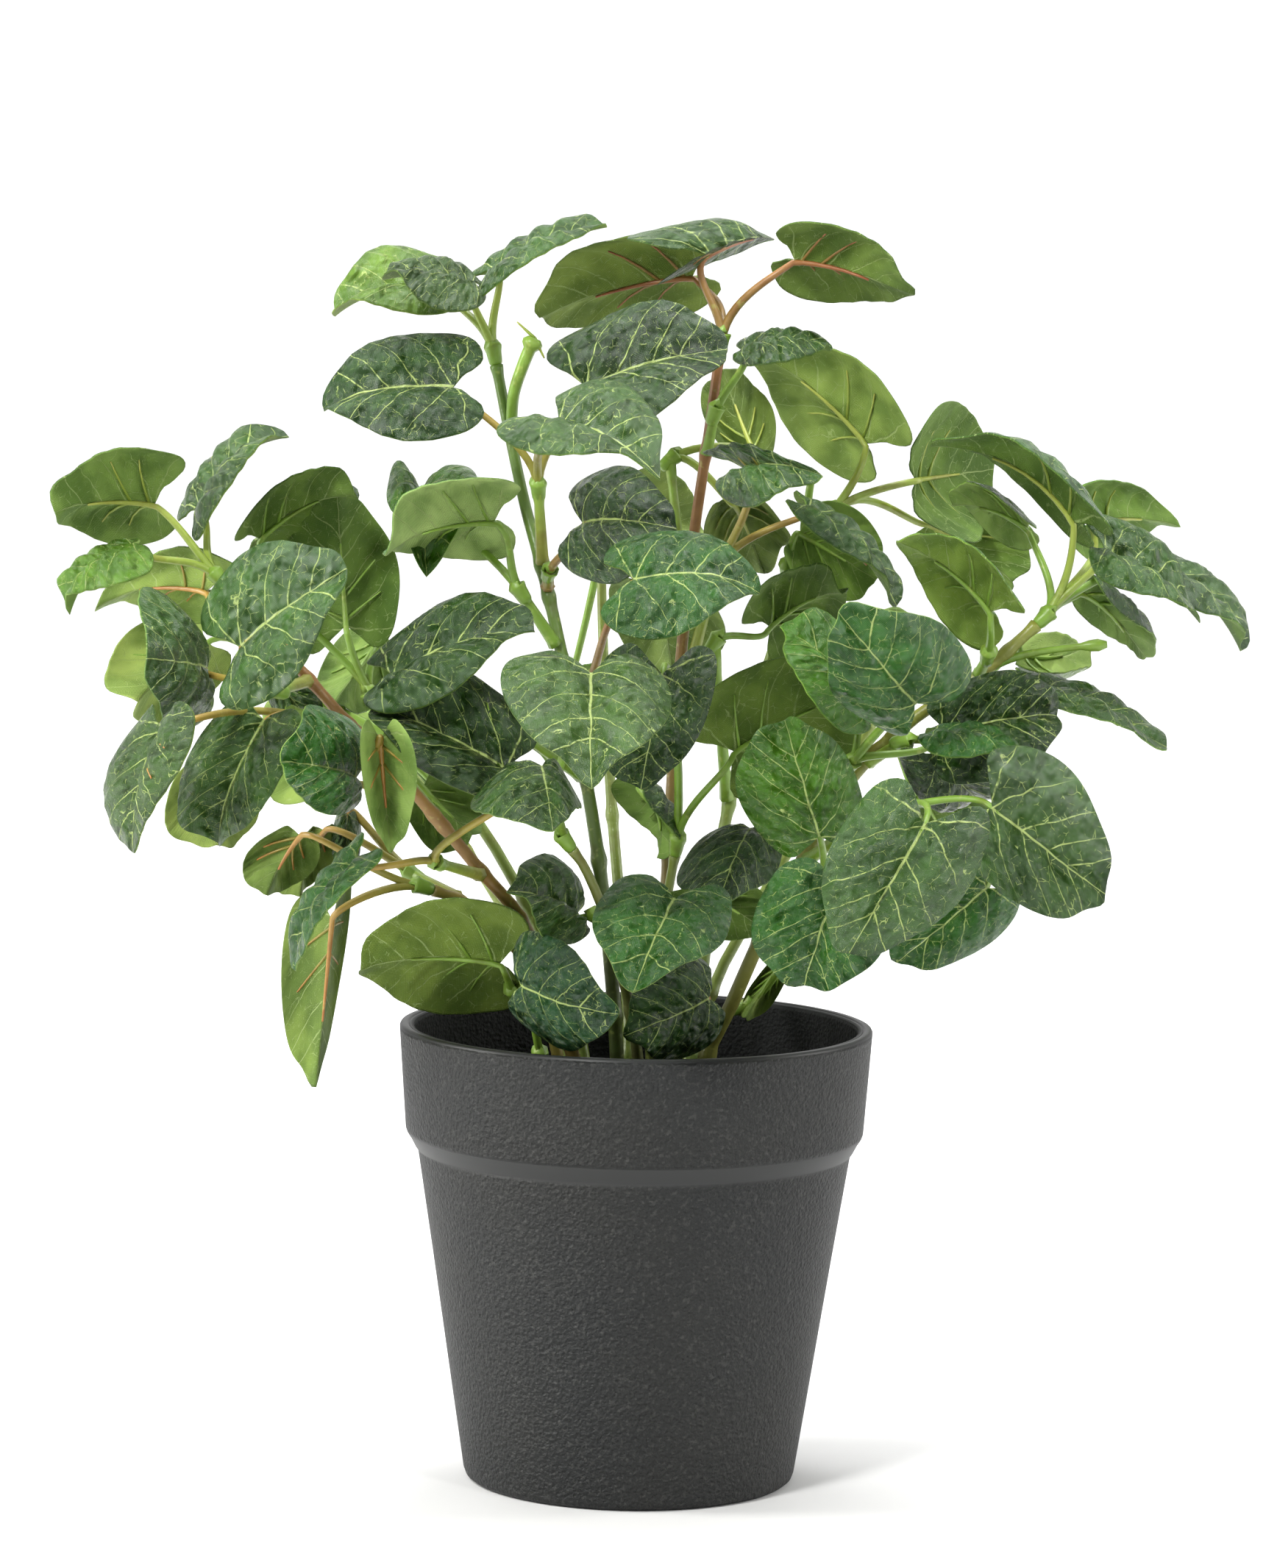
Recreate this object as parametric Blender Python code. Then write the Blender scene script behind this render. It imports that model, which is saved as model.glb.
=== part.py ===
"""Potted ivy: a plastic pot with a stepped collar, a cast plug that fills it, bare stems
set in sockets in the plug, and leafy sprigs that push on to the stems.

Metres, +Z up.  The origin is the centre of the pot's foot, on the surface it stands on.
"""

import math

import bmesh
import bpy
from mathutils import Matrix, Vector

MM = 0.001

# ---------------------------------------------------------------- driving dimensions (mm)
GAP = 0.4                   # clearance left between two pieces that meet

POT_STEPS = 36              # flats round the pot
POT_HEIGHT = 116.6
POT_RIM_RADIUS = 60.0
POT_BAND_LOW = 89.5         # bottom edge of the straight collar band
POT_BAND_LOW_RADIUS = 58.1
POT_STEP_LOW = 84.5         # bottom of the sloping step under the band
POT_STEP_LOW_RADIUS = 55.0
POT_FOOT_RADIUS = 42.2
POT_WALL = 2.3
POT_FLOOR = 4.0
POT_FOOT_ROUND = 2.0        # height of the rounded corner at the foot

PLUG_TOP = 65.5
SOCKET_DEPTH = 18.0         # how far a stem goes down into the plug
STEM_SIDES = 1              # bevel resolution: a six-sided tube
STEM_SAMPLES = 3            # spline points between two points of a stem's route

# The crown is drawn as a front elevation seen from the sight point.  A place is written
# as it reads on the plant's middle plane, with its depth: moved nearer or farther, a leaf
# slides along the line of sight, so the elevation stays as it was drawn.
SIGHT_DISTANCE = 1500.0
SIGHT_HEIGHT = 335.0

# ---------------------------------------------------------------- a leaf's shape
UPPER = 1                   # the upper side shows in front
UNDER = -1                  # the underside shows in front
LEAF_LENGTH = 33.0          # notch to tip
LEAF_HALF_WIDTH = 18.5
TOWARD = {"n": -1, "f": 1, "0": 0}
SHOULDER_ALONG = 0.14       # how far toward the tip the widest place lies
# Half of the outline, from the notch round to the tip: (along, across), as shares of the
# length and of the half width.
HALF_OUTLINE = (
    (-0.11, 0.22),
    (-0.23, 0.52),
    (-0.12, 0.86),
    (0.14, 1.00),
    (0.42, 0.95),
    (0.70, 0.69),
    (0.91, 0.29),
)
MIDRIB = (0.28, 0.66)       # places along the midrib that carry the blade's thickness
BLADE_THICKNESS = 0.8
BLADE_BOW = 1.6             # rise of the midrib's middle above a straight line
STALK_RADIUS = 0.95
STALK_INTO_BLADE = 0.24     # how far the leaf stalk runs under the midrib
FOOT_RADIUS = 1.25          # the short foot that joins a side sprig to its stem
COLLAR_RADIUS = 2.5
COLLAR_LENGTH = 5.0

GREEN = (0.075, 0.21, 0.055, 1)
STEM_GREEN = (0.24, 0.30, 0.06, 1)
CHARCOAL = (0.055, 0.058, 0.062, 1)
PLUG_GREY = (0.02, 0.02, 0.02, 1)

# ---------------------------------------------------------------- stems
# Each stem: foot radius, tip radius, then its route as (across, depth, height).
STEMS = {
    "stem_a": (2.2, 1.5, ((-3, -9, 68), (-5, -12, 112), (-9, -14, 150), (-14, -16, 180),
                          (-21, -14, 213), (-26, -9, 233), (-30, -4, 247), (-34, 0, 264),
                          (-38, 3, 283))),
    "stem_b": (2.1, 1.4, ((5, 6, 68), (6, 7, 112), (7, 8, 150), (9, 8, 200), (12, 6, 238),
                          (15, 4, 262), (18, 3, 287))),
    "stem_c": (2.3, 1.6, ((12, -4, 68), (17, -7, 105), (24, -12, 122), (32, -18, 141),
                          (42, -24, 160), (52, -28, 179), (69, -29, 196), (85, -26, 207),
                          (99, -22, 220))),
    "stem_d": (2.1, 1.4, ((13, 9, 68), (15, 16, 112), (20, 24, 160), (29, 29, 200),
                          (39, 31, 230), (45, 32, 244))),
    "stem_e": (2.2, 1.4, ((-11, -7, 68), (-15, -10, 105), (-28, -19, 140), (-40, -26, 155),
                          (-52, -30, 169), (-61, -32, 179), (-72, -32, 190),
                          (-84, -32, 203), (-95, -29, 215), (-105, -25, 226))),
    "stem_f": (2.1, 1.4, ((-9, 9, 68), (-14, 15, 112), (-30, 21, 150), (-50, 23, 180),
                          (-66, 21, 197))),
    "stem_g": (2.0, 1.4, ((-17, 1, 68), (-19, 0, 105), (-29, -4, 133), (-42, -9, 146),
                          (-52, -12, 150))),
    "stem_h": (1.9, 1.3, ((4, -13, 68), (0, -20, 112), (-7, -28, 140), (-13, -33, 155),
                          (-17, -35, 161))),
    "stem_i": (1.9, 1.3, ((3, -2, 68), (4, -5, 112), (6, -16, 140), (9, -23, 160))),
    "stem_j": (2.0, 1.3, ((-2, 15, 68), (-2, 26, 118), (-7, 42, 170), (-10, 52, 213),
                          (-11, 58, 240))),
    "stem_k": (2.0, 1.3, ((7, 17, 68), (16, 34, 118), (37, 53, 160), (58, 68, 194))),
    "stem_l": (2.0, 1.3, ((-9, 18, 68), (-20, 35, 118), (-42, 54, 158), (-63, 66, 186))),
}

# ---------------------------------------------------------------- sprigs
# Each sprig: its stem, where on the stem it springs from, its collar, and its leaves.
# A leaf is drawn by its notch (across, depth, height), then its tip and the two shoulders
# where it is widest (across, height), the left one first for an eye that looks toward the
# tip.  Three letters say whether the tip and each shoulder stand nearer than the notch,
# farther, or level; how far follows from the leaf's true length and half width.  Then the
# side that shows in front, and the leaf's size against the usual one.
SPRIGS = {
    "sprig_a1": ("stem_a", (-38, 3, 283), (-39, 3, 289), (
        ((-51, 15, 302), (-79.5, 296.5), (-58, 299), (-58, 313.5), "nnf", UPPER, 0.9),
        ((-45, -4, 303), (-67, 303.5), (-49, 299), (-50, 307.5), "nnf", UPPER, 0.85),
        ((-37.5, 4, 306.5), (-10, 317), (-36, 311.5), (-36.5, 305.5), "nfn", UPPER, 0.9),
    )),
    "sprig_a2": ("stem_a", (-26, -9, 233), (-27, -16, 252), (
        ((-49, -24, 277.5), (-82, 272.5), (-54, 266), (-54, 292), "0nf", UPPER, 1.0),
        ((-22, -60, 269), (3, 257.5), (-9, 280), (-33, 265.5), "nfn", UPPER, 1.1),
        ((-15.5, -24, 278.5), (20.5, 288), (-14, 297), (-6, 269), "0fn", UPPER, 1.05),
    )),
    "sprig_a3": ("stem_a", (-24, -11, 225), (-24, -17, 231), (
        ((-16, -42, 244), (8, 243), (-10, 258.5), (-13, 230), "nfn", UPPER, 0.95),
    )),
    "sprig_a4": ("stem_a", (-16, -16, 190), (-13, -34, 204), (
        ((-2.5, -78, 230), (29.5, 229), (1, 242.5), (1, 217), "0fn", UPPER, 1.0),
    )),
    "sprig_a5": ("stem_a", (-20, -15, 208), (-31, -20, 226), (
        ((-38.5, -28, 244), (-65.5, 236), (-44.5, 236), (-42, 257), "nfn", UNDER, 1.0),
        ((-56.5, -2, 251.5), (-55, 231), (-42, 256), (-65.5, 254.5), "n00", UPPER, 1.0),
    )),
    "sprig_a6": ("stem_a", (-14, -16, 180), (-30, -36, 190), (
        ((-63, -52, 205), (-27, 217.5), (-56, 221), (-56, 200), "0fn", UPPER, 1.05),
        ((-34.5, -59, 181.5), (-68, 197), (-49, 178), (-38, 204), "0n0", UPPER, 1.0),
    )),
    "sprig_b1": ("stem_b", (18, 3, 287), (18, 3, 292), (
        ((15, 4, 312), (31, 316), (-2, 318.5), (6, 306), "ffn", UPPER, 0.9),
        ((37, 2, 311), (65, 301), (44, 321), (41, 303.5), "nnf", UNDER, 0.95),
        ((10.5, 26, 306.5), (-27.5, 295), (2, 295.5), (-2, 319), "0fn", UNDER, 1.1),
    )),
    "sprig_b2": ("stem_b", (15, 4, 262), (17, -1, 272), (
        ((25, -4, 287.5), (46, 286.5), (31, 291), (30, 286), "nfn", UPPER, 0.85),
    )),
    "sprig_b3": ("stem_b", (11, 7, 225), (6, 15, 260), (
        ((27, 24, 262), (19, 283), (15, 268), (31.5, 272), "fff", UNDER, 0.85),
        ((22, 14, 250), (30, 233), (35, 246), (15, 240), "fff", UNDER, 0.8),
    )),
    "sprig_b4": ("stem_b", (9, 8, 205), (18, 0, 232), (
        ((25, -28, 258.5), (45, 256.5), (17, 264.5), (23, 250.5), "nfn", UPPER, 0.95),
        ((41, -6, 247), (63.5, 225), (48, 247), (45, 243), "nfn", UPPER, 0.95),
    )),
    "sprig_c1": ("stem_c", (99, -22, 220), (102, -21, 224), (
        ((108, -20, 247), (71, 264), (99, 251), (108, 255.5), "0fn", UNDER, 1.1),
        ((112, 16, 246), (134, 246), (112, 257), (115, 238), "fnf", UNDER, 1.0),
        ((117, -24, 238), (140, 222), (119, 249), (121, 233), "nfn", UPPER, 1.0),
    )),
    "sprig_c2": ("stem_c", (92, -24, 213), (101, -8, 222), (
        ((126, -4, 237), (151, 215), (137, 236.5), (132, 231), "0fn", UPPER, 1.0),
        ((111, 8, 229), (126, 210.5), (122, 226), (114, 222), "fnf", UNDER, 0.9),
        ((96, 4, 245), (77, 249.5), (91, 243.5), (89, 253), "nfn", UNDER, 0.85),
    )),
    "sprig_c3": ("stem_c", (85, -26, 207), (87, -34, 212), (
        ((87.5, -44, 224), (63.5, 240.5), (80, 219.5), (90, 234), "nfn", UNDER, 0.95),
    )),
    "sprig_c4": ("stem_c", (76, -28, 201), (84, -16, 206), (
        ((100, -14, 203.5), (131.5, 187), (108, 206), (103, 201.5), "0fn", UPPER, 1.0),
        ((95, 12, 212), (113, 215), (100, 216.5), (104, 207), "ffn", UNDER, 0.85),
    )),
    "sprig_c5": ("stem_c", (52, -28, 179), (53, -48, 184), (
        ((69, -78, 199.5), (49.5, 222), (52.5, 196.5), (80.5, 215), "n00", UPPER, 1.05),
        ((57, -50, 199), (35, 218), (46.5, 197.5), (56, 216), "nnf", UPPER, 1.0),
        ((75, -52, 191.5), (97, 183), (82, 194), (79, 189.5), "nfn", UPPER, 0.9),
    )),
    "sprig_c6": ("stem_c", (60, -29, 187), (66, -36, 190), (
        ((77, -35, 192.5), (105.5, 198), (84, 208), (88, 180), "00n", UPPER, 1.0),
        ((75, -38, 187), (86, 175), (88, 187), (68.5, 178), "f00", UPPER, 0.85),
    )),
    "sprig_c7": ("stem_c", (42, -24, 160), (57, -50, 170), (
        ((72, -104, 169), (53, 135), (86.5, 158), (52, 170), "000", UPPER, 1.1),
        ((89, -81, 173.5), (118, 152), (104, 186.5), (90, 153), "000", UPPER, 1.1),
    )),
    "sprig_c8": ("stem_c", (38, -21, 151), (46, -44, 154), (
        ((51, -82, 154), (42.5, 127), (63, 141), (30, 150), "0nn", UPPER, 1.0),
        ((45.5, -64, 165.5), (36, 195), (26, 172), (56, 177), "000", UPPER, 1.0),
    )),
    "sprig_c9": ("stem_c", (32, -18, 141), (44, -30, 146), (
        ((88, -56, 153), (66, 134), (92, 141), (70, 156), "000", UPPER, 0.95),
    )),
    "sprig_d1": ("stem_d", (45, 32, 244), (47, 33, 248), (
        ((55.5, 40, 265.5), (27, 288), (44, 262), (60.5, 280), "0fn", UNDER, 1.0),
        ((67.5, 44, 256), (87.5, 259), (74, 276), (79, 240.5), "f00", UNDER, 1.05),
        ((72, 62, 245), (93, 231), (90, 246), (76, 231), "0ff", UNDER, 0.85),
    )),
    "sprig_d2": ("stem_d", (39, 31, 230), (36, 23, 233), (
        ((39, 19, 242), (58, 231), (52, 249), (42, 227.5), "000", UNDER, 0.85),
    )),
    "sprig_d3": ("stem_d", (25, 27, 180), (18, 10, 214), (
        ((32, 14, 219), (50, 228), (30, 230), (42, 213), "nnf", UNDER, 0.9),
    )),
    "sprig_e1": ("stem_e", (-105, -25, 226), (-108, -24, 230), (
        ((-124, -22, 247), (-149, 244), (-129, 237.5), (-125.5, 262.5), "nfn", UNDER, 1.0),
        ((-112, -12, 246), (-92.5, 266.5), (-114.5, 253.5), (-108.5, 247.5), "0fn", UPPER, 0.95),
        ((-129, -34, 235.5), (-145.5, 220.5), (-131.5, 229), (-136.5, 233.5), "nnf", UPPER, 0.8),
    )),
    "sprig_e2": ("stem_e", (-95, -29, 215), (-103, -14, 221), (
        ((-110, -4, 225.5), (-138, 222.5), (-115, 219.5), (-108, 237), "ffn", UNDER, 1.0),
    )),
    "sprig_e3": ("stem_e", (-84, -32, 203), (-92, -48, 200), (
        ((-101.5, -62, 211.5), (-73.7, 231), (-105.5, 231.5), (-95.5, 199), "0fn", UPPER, 1.1),
        ((-109.3, -36, 205.5), (-125.5, 207.5), (-115.5, 189), (-122, 226), "n00", UPPER, 1.05),
    )),
    "sprig_e4": ("stem_e", (-72, -32, 190), (-87, -36, 194), (
        ((-121.5, -68, 190), (-127.7, 158.5), (-117.5, 186), (-133.5, 184), "0nf", UPPER, 1.0),
        ((-95.5, -48, 192.5), (-107.5, 161.5), (-89.8, 181), (-114.5, 186), "0n0", UPPER, 1.0),
    )),
    "sprig_e5": ("stem_e", (-61, -32, 179), (-67, -46, 176), (
        ((-71.5, -62, 178.5), (-91.5, 182), (-78, 169), (-77, 197), "nnf", UPPER, 0.95),
        ((-66, -66, 188), (-63, 160), (-57.2, 182.5), (-71, 183), "0nn", UNDER, 0.8),
    )),
    "sprig_e6": ("stem_e", (-40, -26, 155), (-51, -46, 157), (
        ((-72, -60, 156), (-87.5, 129.5), (-73.5, 151.5), (-78, 158), "nnf", UPPER, 0.95),
        ((-25, -74, 182.5), (-22, 165.5), (-15.5, 176), (-43, 174), "n00", UPPER, 0.9),
    )),
    "sprig_e7": ("stem_e", (-52, -30, 169), (-64, -22, 184), (
        ((-93, -8, 204), (-83, 192), (-84, 203), (-92, 193), "000", UPPER, 0.7),
        ((-55, -12, 176), (-42, 164), (-44, 176), (-56, 163), "0ff", UNDER, 0.7),
    )),
    "sprig_f1": ("stem_f", (-66, 21, 197), (-69, 20, 201), (
        ((-75, 16, 217), (-77.5, 250), (-91.5, 222), (-61.5, 226), "0ff", UNDER, 1.0),
        ((-97, 14, 239), (-72.5, 251.5), (-96, 251), (-91, 239.5), "nnf", UNDER, 0.9),
        ((-66, 36, 214), (-77, 198.5), (-63, 201), (-79, 210), "nff", UNDER, 0.85),
    )),
    "sprig_f2": ("stem_f", (-58, 23, 189), (-78, 24, 196), (
        ((-110, 18, 212), (-129, 196), (-113, 196), (-128, 216), "nff", UNDER, 0.95),
        ((-106, 10, 181), (-107, 160.5), (-97, 171), (-121, 172), "0ff", UNDER, 0.85),
    )),
    "sprig_g1": ("stem_g", (-52, -12, 150), (-56, -13, 151), (
        ((-77.5, -22, 142), (-81, 99.5), (-73, 146), (-90, 134), "0ff", UNDER, 1.1),
        ((-86, -16, 163.5), (-94, 148.5), (-83, 156), (-98.5, 160), "0ff", UNDER, 0.7),
    )),
    "sprig_g2": ("stem_g", (-46, -10, 148), (-57, 4, 154), (
        ((-80, 6, 165), (-86, 148.5), (-78, 158), (-91, 157), "0ff", UNDER, 0.7),
        ((-74, 8, 169), (-74, 155), (-70.5, 162), (-78, 163), "000", UPPER, 0.55),
    )),
    "sprig_g3": ("stem_g", (-22, -2, 118), (-31, -14, 124), (
        ((-35, -20, 132), (-71, 130.5), (-42, 119.5), (-42, 149), "0fn", UNDER, 1.05),
    )),
    "sprig_g4": ("stem_g", (-18, 0, 95), (-24, -16, 108), (
        ((-29.5, -38, 126), (-6.3, 118.5), (-24, 139.5), (-24, 111), "n00", UPPER, 0.9),
    )),
    "sprig_h1": ("stem_h", (-17, -35, 161), (-18, -36, 165), (
        ((-13, -92, 206), (-12.5, 178.5), (6.8, 202), (-35.5, 205), "nnn", UPPER, 1.1),
    )),
    "sprig_h2": ("stem_h", (-7, -28, 140), (-10, -22, 144), (
        ((-15.5, -20, 144.5), (-33, 150), (-19, 139), (-20, 158.5), "nnf", UPPER, 0.85),
    )),
    "sprig_h3": ("stem_h", (-7, -28, 141), (3, -46, 146), (
        ((9, -68, 149), (-1, 125.5), (24, 144), (-9.5, 150), "n00", UPPER, 0.95),
    )),
    "sprig_h4": ("stem_h", (1, -18, 105), (10, -30, 112), (
        ((18.5, -26, 123.5), (-2, 114), (16, 109.5), (8, 135), "n00", UPPER, 0.8),
    )),
    "sprig_i1": ("stem_i", (9, -23, 160), (11, -25, 165), (
        ((23.5, -34, 187), (57, 203.5), (19.5, 205.5), (42, 178), "0nf", UNDER, 1.1),
        ((5, -66, 206), (0, 176.5), (18.5, 203), (-13, 203), "000", UPPER, 1.0),
        ((2, -20, 177), (5, 159), (6.5, 172), (-2.5, 174), "0nf", UNDER, 0.6),
    )),
    "sprig_i2": ("stem_i", (6, -16, 140), (12, -30, 148), (
        ((14, -46, 152), (33, 141), (26, 154.5), (12, 142), "000", UNDER, 0.8),
        ((28, -36, 167.5), (20.5, 149), (36, 160), (11, 160), "n00", UPPER, 0.85),
    )),
    "sprig_i3": ("stem_i", (4, -5, 112), (28, 6, 122), (
        ((36, -2, 132), (27.5, 118.5), (36, 125), (30, 129), "0ff", UNDER, 0.5),
    )),
    "sprig_j1": ("stem_j", (-11, 58, 240), (-11, 60, 245), (
        ((-4, 72, 248), (18, 240), (4, 256), (6, 230), "fff", UNDER, 0.95),
        ((2, 84, 228), (8, 205), (20, 222), (-8, 222), "fff", UNDER, 1.0),
        ((-18, 78, 206), (-20, 182), (-4, 198), (-32, 198), "fff", UNDER, 1.0),
    )),
    "sprig_k1": ("stem_k", (58, 68, 194), (58, 69, 199), (
        ((60, 84, 203), (62, 222), (50, 214), (74, 214), "fff", UNDER, 0.95),
        ((70, 88, 178), (82, 156), (92, 172), (66, 162), "fff", UNDER, 1.0),
        ((38, 86, 176), (40, 188), (28, 178), (52, 178), "fff", UNDER, 0.9),
    )),
    "sprig_l1": ("stem_l", (-63, 66, 186), (-63, 67, 191), (
        ((-74, 80, 188), (-98, 184), (-84, 172), (-86, 200), "fff", UNDER, 1.0),
        ((-60, 86, 186), (-66, 206), (-76, 196), (-50, 200), "fff", UNDER, 0.95),
        ((-48, 88, 170), (-50, 188), (-62, 180), (-36, 180), "fff", UNDER, 0.9),
    )),
}


# ---------------------------------------------------------------- helpers
def place(point):
    """A point of the front elevation, with its depth, as metres in the plant's frame."""
    across, depth, height = point
    reach = (SIGHT_DISTANCE + depth) / SIGHT_DISTANCE
    return Vector((across * reach, depth, SIGHT_HEIGHT - (SIGHT_HEIGHT - height) * reach)) * MM


def material(name, colour, roughness):
    made = bpy.data.materials.new(name)
    made.use_nodes = True
    shader = made.node_tree.nodes["Principled BSDF"]
    shader.inputs["Base Color"].default_value = colour
    shader.inputs["Roughness"].default_value = roughness
    made.diffuse_color = colour
    return made


def add_object(name, mesh, finish, smooth=True):
    if smooth:
        mesh.shade_smooth()
        mesh.set_sharp_from_angle(angle=math.radians(40))
    obj = bpy.data.objects.new(name, mesh)
    bpy.context.scene.collection.objects.link(obj)
    if finish:
        mesh.materials.clear()
        mesh.materials.append(finish)
    return obj


def smooth_route(points, samples):
    """A Catmull-Rom curve through the points, with this many samples in each span."""
    ends = [points[0] * 2 - points[1], *points, points[-1] * 2 - points[-2]]
    route = []
    for a, b, c, d in zip(ends, ends[1:], ends[2:], ends[3:]):
        for step in range(samples):
            t = step / samples
            route.append(0.5 * (
                2 * b + (c - a) * t + (2 * a - 5 * b + 4 * c - d) * t ** 2
                + (3 * b - 3 * c + d - a) * t ** 3
            ))
    return [*route, points[-1]]


def bezier_route(a, b, c, d, spans):
    route = []
    for step in range(spans + 1):
        t = step / spans
        s = 1 - t
        route.append(a * s ** 3 + b * 3 * s * s * t + c * 3 * s * t * t + d * t ** 3)
    return route


def tube_mesh(name, route, radii, resolution):
    """A closed round bar along the route: a curve with a bevel, made a mesh and welded."""
    curve = bpy.data.curves.new(name, "CURVE")
    curve.dimensions = "3D"
    curve.bevel_depth = 1.0
    curve.bevel_resolution = resolution
    curve.use_fill_caps = True
    spline = curve.splines.new("POLY")
    spline.points.add(len(route) - 1)
    for spot, where, radius in zip(spline.points, route, radii):
        spot.co = (*where, 1)
        spot.radius = radius * MM
    helper = bpy.data.objects.new(name, curve)
    bpy.context.scene.collection.objects.link(helper)
    bpy.context.view_layer.update()
    mesh = bpy.data.meshes.new_from_object(helper.evaluated_get(
        bpy.context.evaluated_depsgraph_get()))
    bpy.data.objects.remove(helper)
    bpy.data.curves.remove(curve)
    shape = bmesh.new()
    shape.from_mesh(mesh)
    bmesh.ops.remove_doubles(shape, verts=shape.verts, dist=0.00001)
    bmesh.ops.recalc_face_normals(shape, faces=shape.faces)
    shape.to_mesh(mesh)
    shape.free()
    return mesh


def taper(first, last, count):
    return [first + (last - first) * i / (count - 1) for i in range(count)]


def joined(name, meshes):
    """One closed mesh from several that overlap, by a Boolean union."""
    helpers = [bpy.data.objects.new(f"{name}_{i}", mesh) for i, mesh in enumerate(meshes)]
    group = bpy.data.collections.new(name)
    bpy.context.scene.collection.children.link(group)
    bpy.context.scene.collection.objects.link(helpers[0])
    for helper in helpers[1:]:
        group.objects.link(helper)
    union = helpers[0].modifiers.new("union", "BOOLEAN")
    union.operation = "UNION"
    union.operand_type = "COLLECTION"
    union.collection = group
    union.solver = "EXACT"
    bpy.context.view_layer.update()
    mesh = bpy.data.meshes.new_from_object(helpers[0].evaluated_get(
        bpy.context.evaluated_depsgraph_get()))
    for helper in helpers:
        bpy.data.objects.remove(helper)
    bpy.data.collections.remove(group)
    return mesh


# ---------------------------------------------------------------- pot and plug
def turned(name, profile, steps, finish):
    """A solid turned about Z from a closed profile of (radius, height) in mm."""
    mesh = bpy.data.meshes.new(name)
    shape = bmesh.new()
    ring = [shape.verts.new((radius * MM, 0, height * MM)) for radius, height in profile]
    edges = [shape.edges.new(pair) for pair in zip(ring, ring[1:])]
    if profile[0][0] > 0:
        edges.append(shape.edges.new((ring[-1], ring[0])))
    bmesh.ops.spin(
        shape, geom=[*ring, *edges], cent=(0, 0, 0), axis=(0, 0, 1),
        angle=math.tau, steps=steps, use_merge=True,
    )
    bmesh.ops.remove_doubles(shape, verts=shape.verts, dist=0.00001)
    bmesh.ops.recalc_face_normals(shape, faces=shape.faces)
    shape.to_mesh(mesh)
    shape.free()
    return add_object(name, mesh, finish)


def pot_inner_radius(height):
    """The radius of the pot's inner wall at a height below the step."""
    slope = (POT_STEP_LOW_RADIUS - POT_FOOT_RADIUS) / (POT_STEP_LOW - POT_FOOT_ROUND)
    return POT_FOOT_RADIUS + (height - POT_FOOT_ROUND) * slope - POT_WALL


def add_pot(finish):
    floor_radius = pot_inner_radius(POT_FLOOR)
    profile = (
        (0, 0),
        (POT_FOOT_RADIUS - 1.8, 0),
        (POT_FOOT_RADIUS, POT_FOOT_ROUND),
        (POT_STEP_LOW_RADIUS, POT_STEP_LOW),
        (POT_BAND_LOW_RADIUS, POT_BAND_LOW),
        (POT_RIM_RADIUS, POT_HEIGHT - 1.0),
        (POT_RIM_RADIUS - 0.9, POT_HEIGHT),
        (POT_RIM_RADIUS - 3.4, POT_HEIGHT - 0.2),
        (POT_RIM_RADIUS - 3.7, POT_HEIGHT - 2.4),
        (POT_BAND_LOW_RADIUS - POT_WALL, POT_BAND_LOW + 1.0),
        (POT_STEP_LOW_RADIUS - POT_WALL, POT_STEP_LOW + 0.6),
        (floor_radius, POT_FLOOR + 1.5),
        (floor_radius - 1.5, POT_FLOOR),
        (0, POT_FLOOR),
    )
    return turned("pot", profile, POT_STEPS, finish)


def add_plug(finish):
    """The cast plug, with a socket for each stem's foot."""
    low = POT_FLOOR + GAP
    side_low = POT_FLOOR + 2.5
    profile = (
        (0, low),
        (pot_inner_radius(side_low) - 2.5, low),
        (pot_inner_radius(side_low) - GAP, side_low),
        (pot_inner_radius(PLUG_TOP - 1.5) - GAP, PLUG_TOP - 1.5),
        (pot_inner_radius(PLUG_TOP) - GAP - 2.0, PLUG_TOP),
        (0, PLUG_TOP),
    )
    plug = turned("plug", profile, POT_STEPS, finish)
    for name, (foot_radius, _, route) in STEMS.items():
        top = place(route[0])
        shape = bmesh.new()
        bmesh.ops.create_cone(
            shape, cap_ends=True, segments=10, radius1=(foot_radius + GAP) * MM * 1.06,
            radius2=(foot_radius + GAP) * MM * 1.06, depth=2 * SOCKET_DEPTH * MM,
            matrix=Matrix.Translation((top.x, top.y, PLUG_TOP * MM)),
        )
        mesh = bpy.data.meshes.new(f"socket_{name}")
        shape.to_mesh(mesh)
        shape.free()
        cutter = bpy.data.objects.new(f"socket_{name}", mesh)
        cutter.hide_render = True
        cutter.display_type = "WIRE"
        bpy.context.scene.collection.objects.link(cutter)
        cut = plug.modifiers.new(cutter.name, "BOOLEAN")
        cut.operation = "DIFFERENCE"
        cut.object = cutter
        cut.solver = "EXACT"
    return plug


# ---------------------------------------------------------------- stems
def add_stem(name, foot_radius, tip_radius, route, finish):
    """A bare stem: straight in its socket, then a smooth curve up to its tip."""
    places = [place(point) for point in route]
    foot = Vector((places[0].x, places[0].y, (PLUG_TOP - SOCKET_DEPTH + GAP) * MM))
    curve = [foot, *smooth_route(places, STEM_SAMPLES)]
    radii = taper(foot_radius, tip_radius, len(curve))
    return add_object(name, tube_mesh(name, curve, radii, STEM_SIDES), finish)


# ---------------------------------------------------------------- leaves
def with_depth(origin, across, height, true_length, way):
    """A drawn point's depth beyond its origin, from the true distance between the two."""
    apparent = math.hypot(across - origin[0], height - origin[2])
    depth = math.sqrt(max(0.0, true_length ** 2 - apparent ** 2))
    return (across, origin[1] + TOWARD[way] * depth, height)


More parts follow.
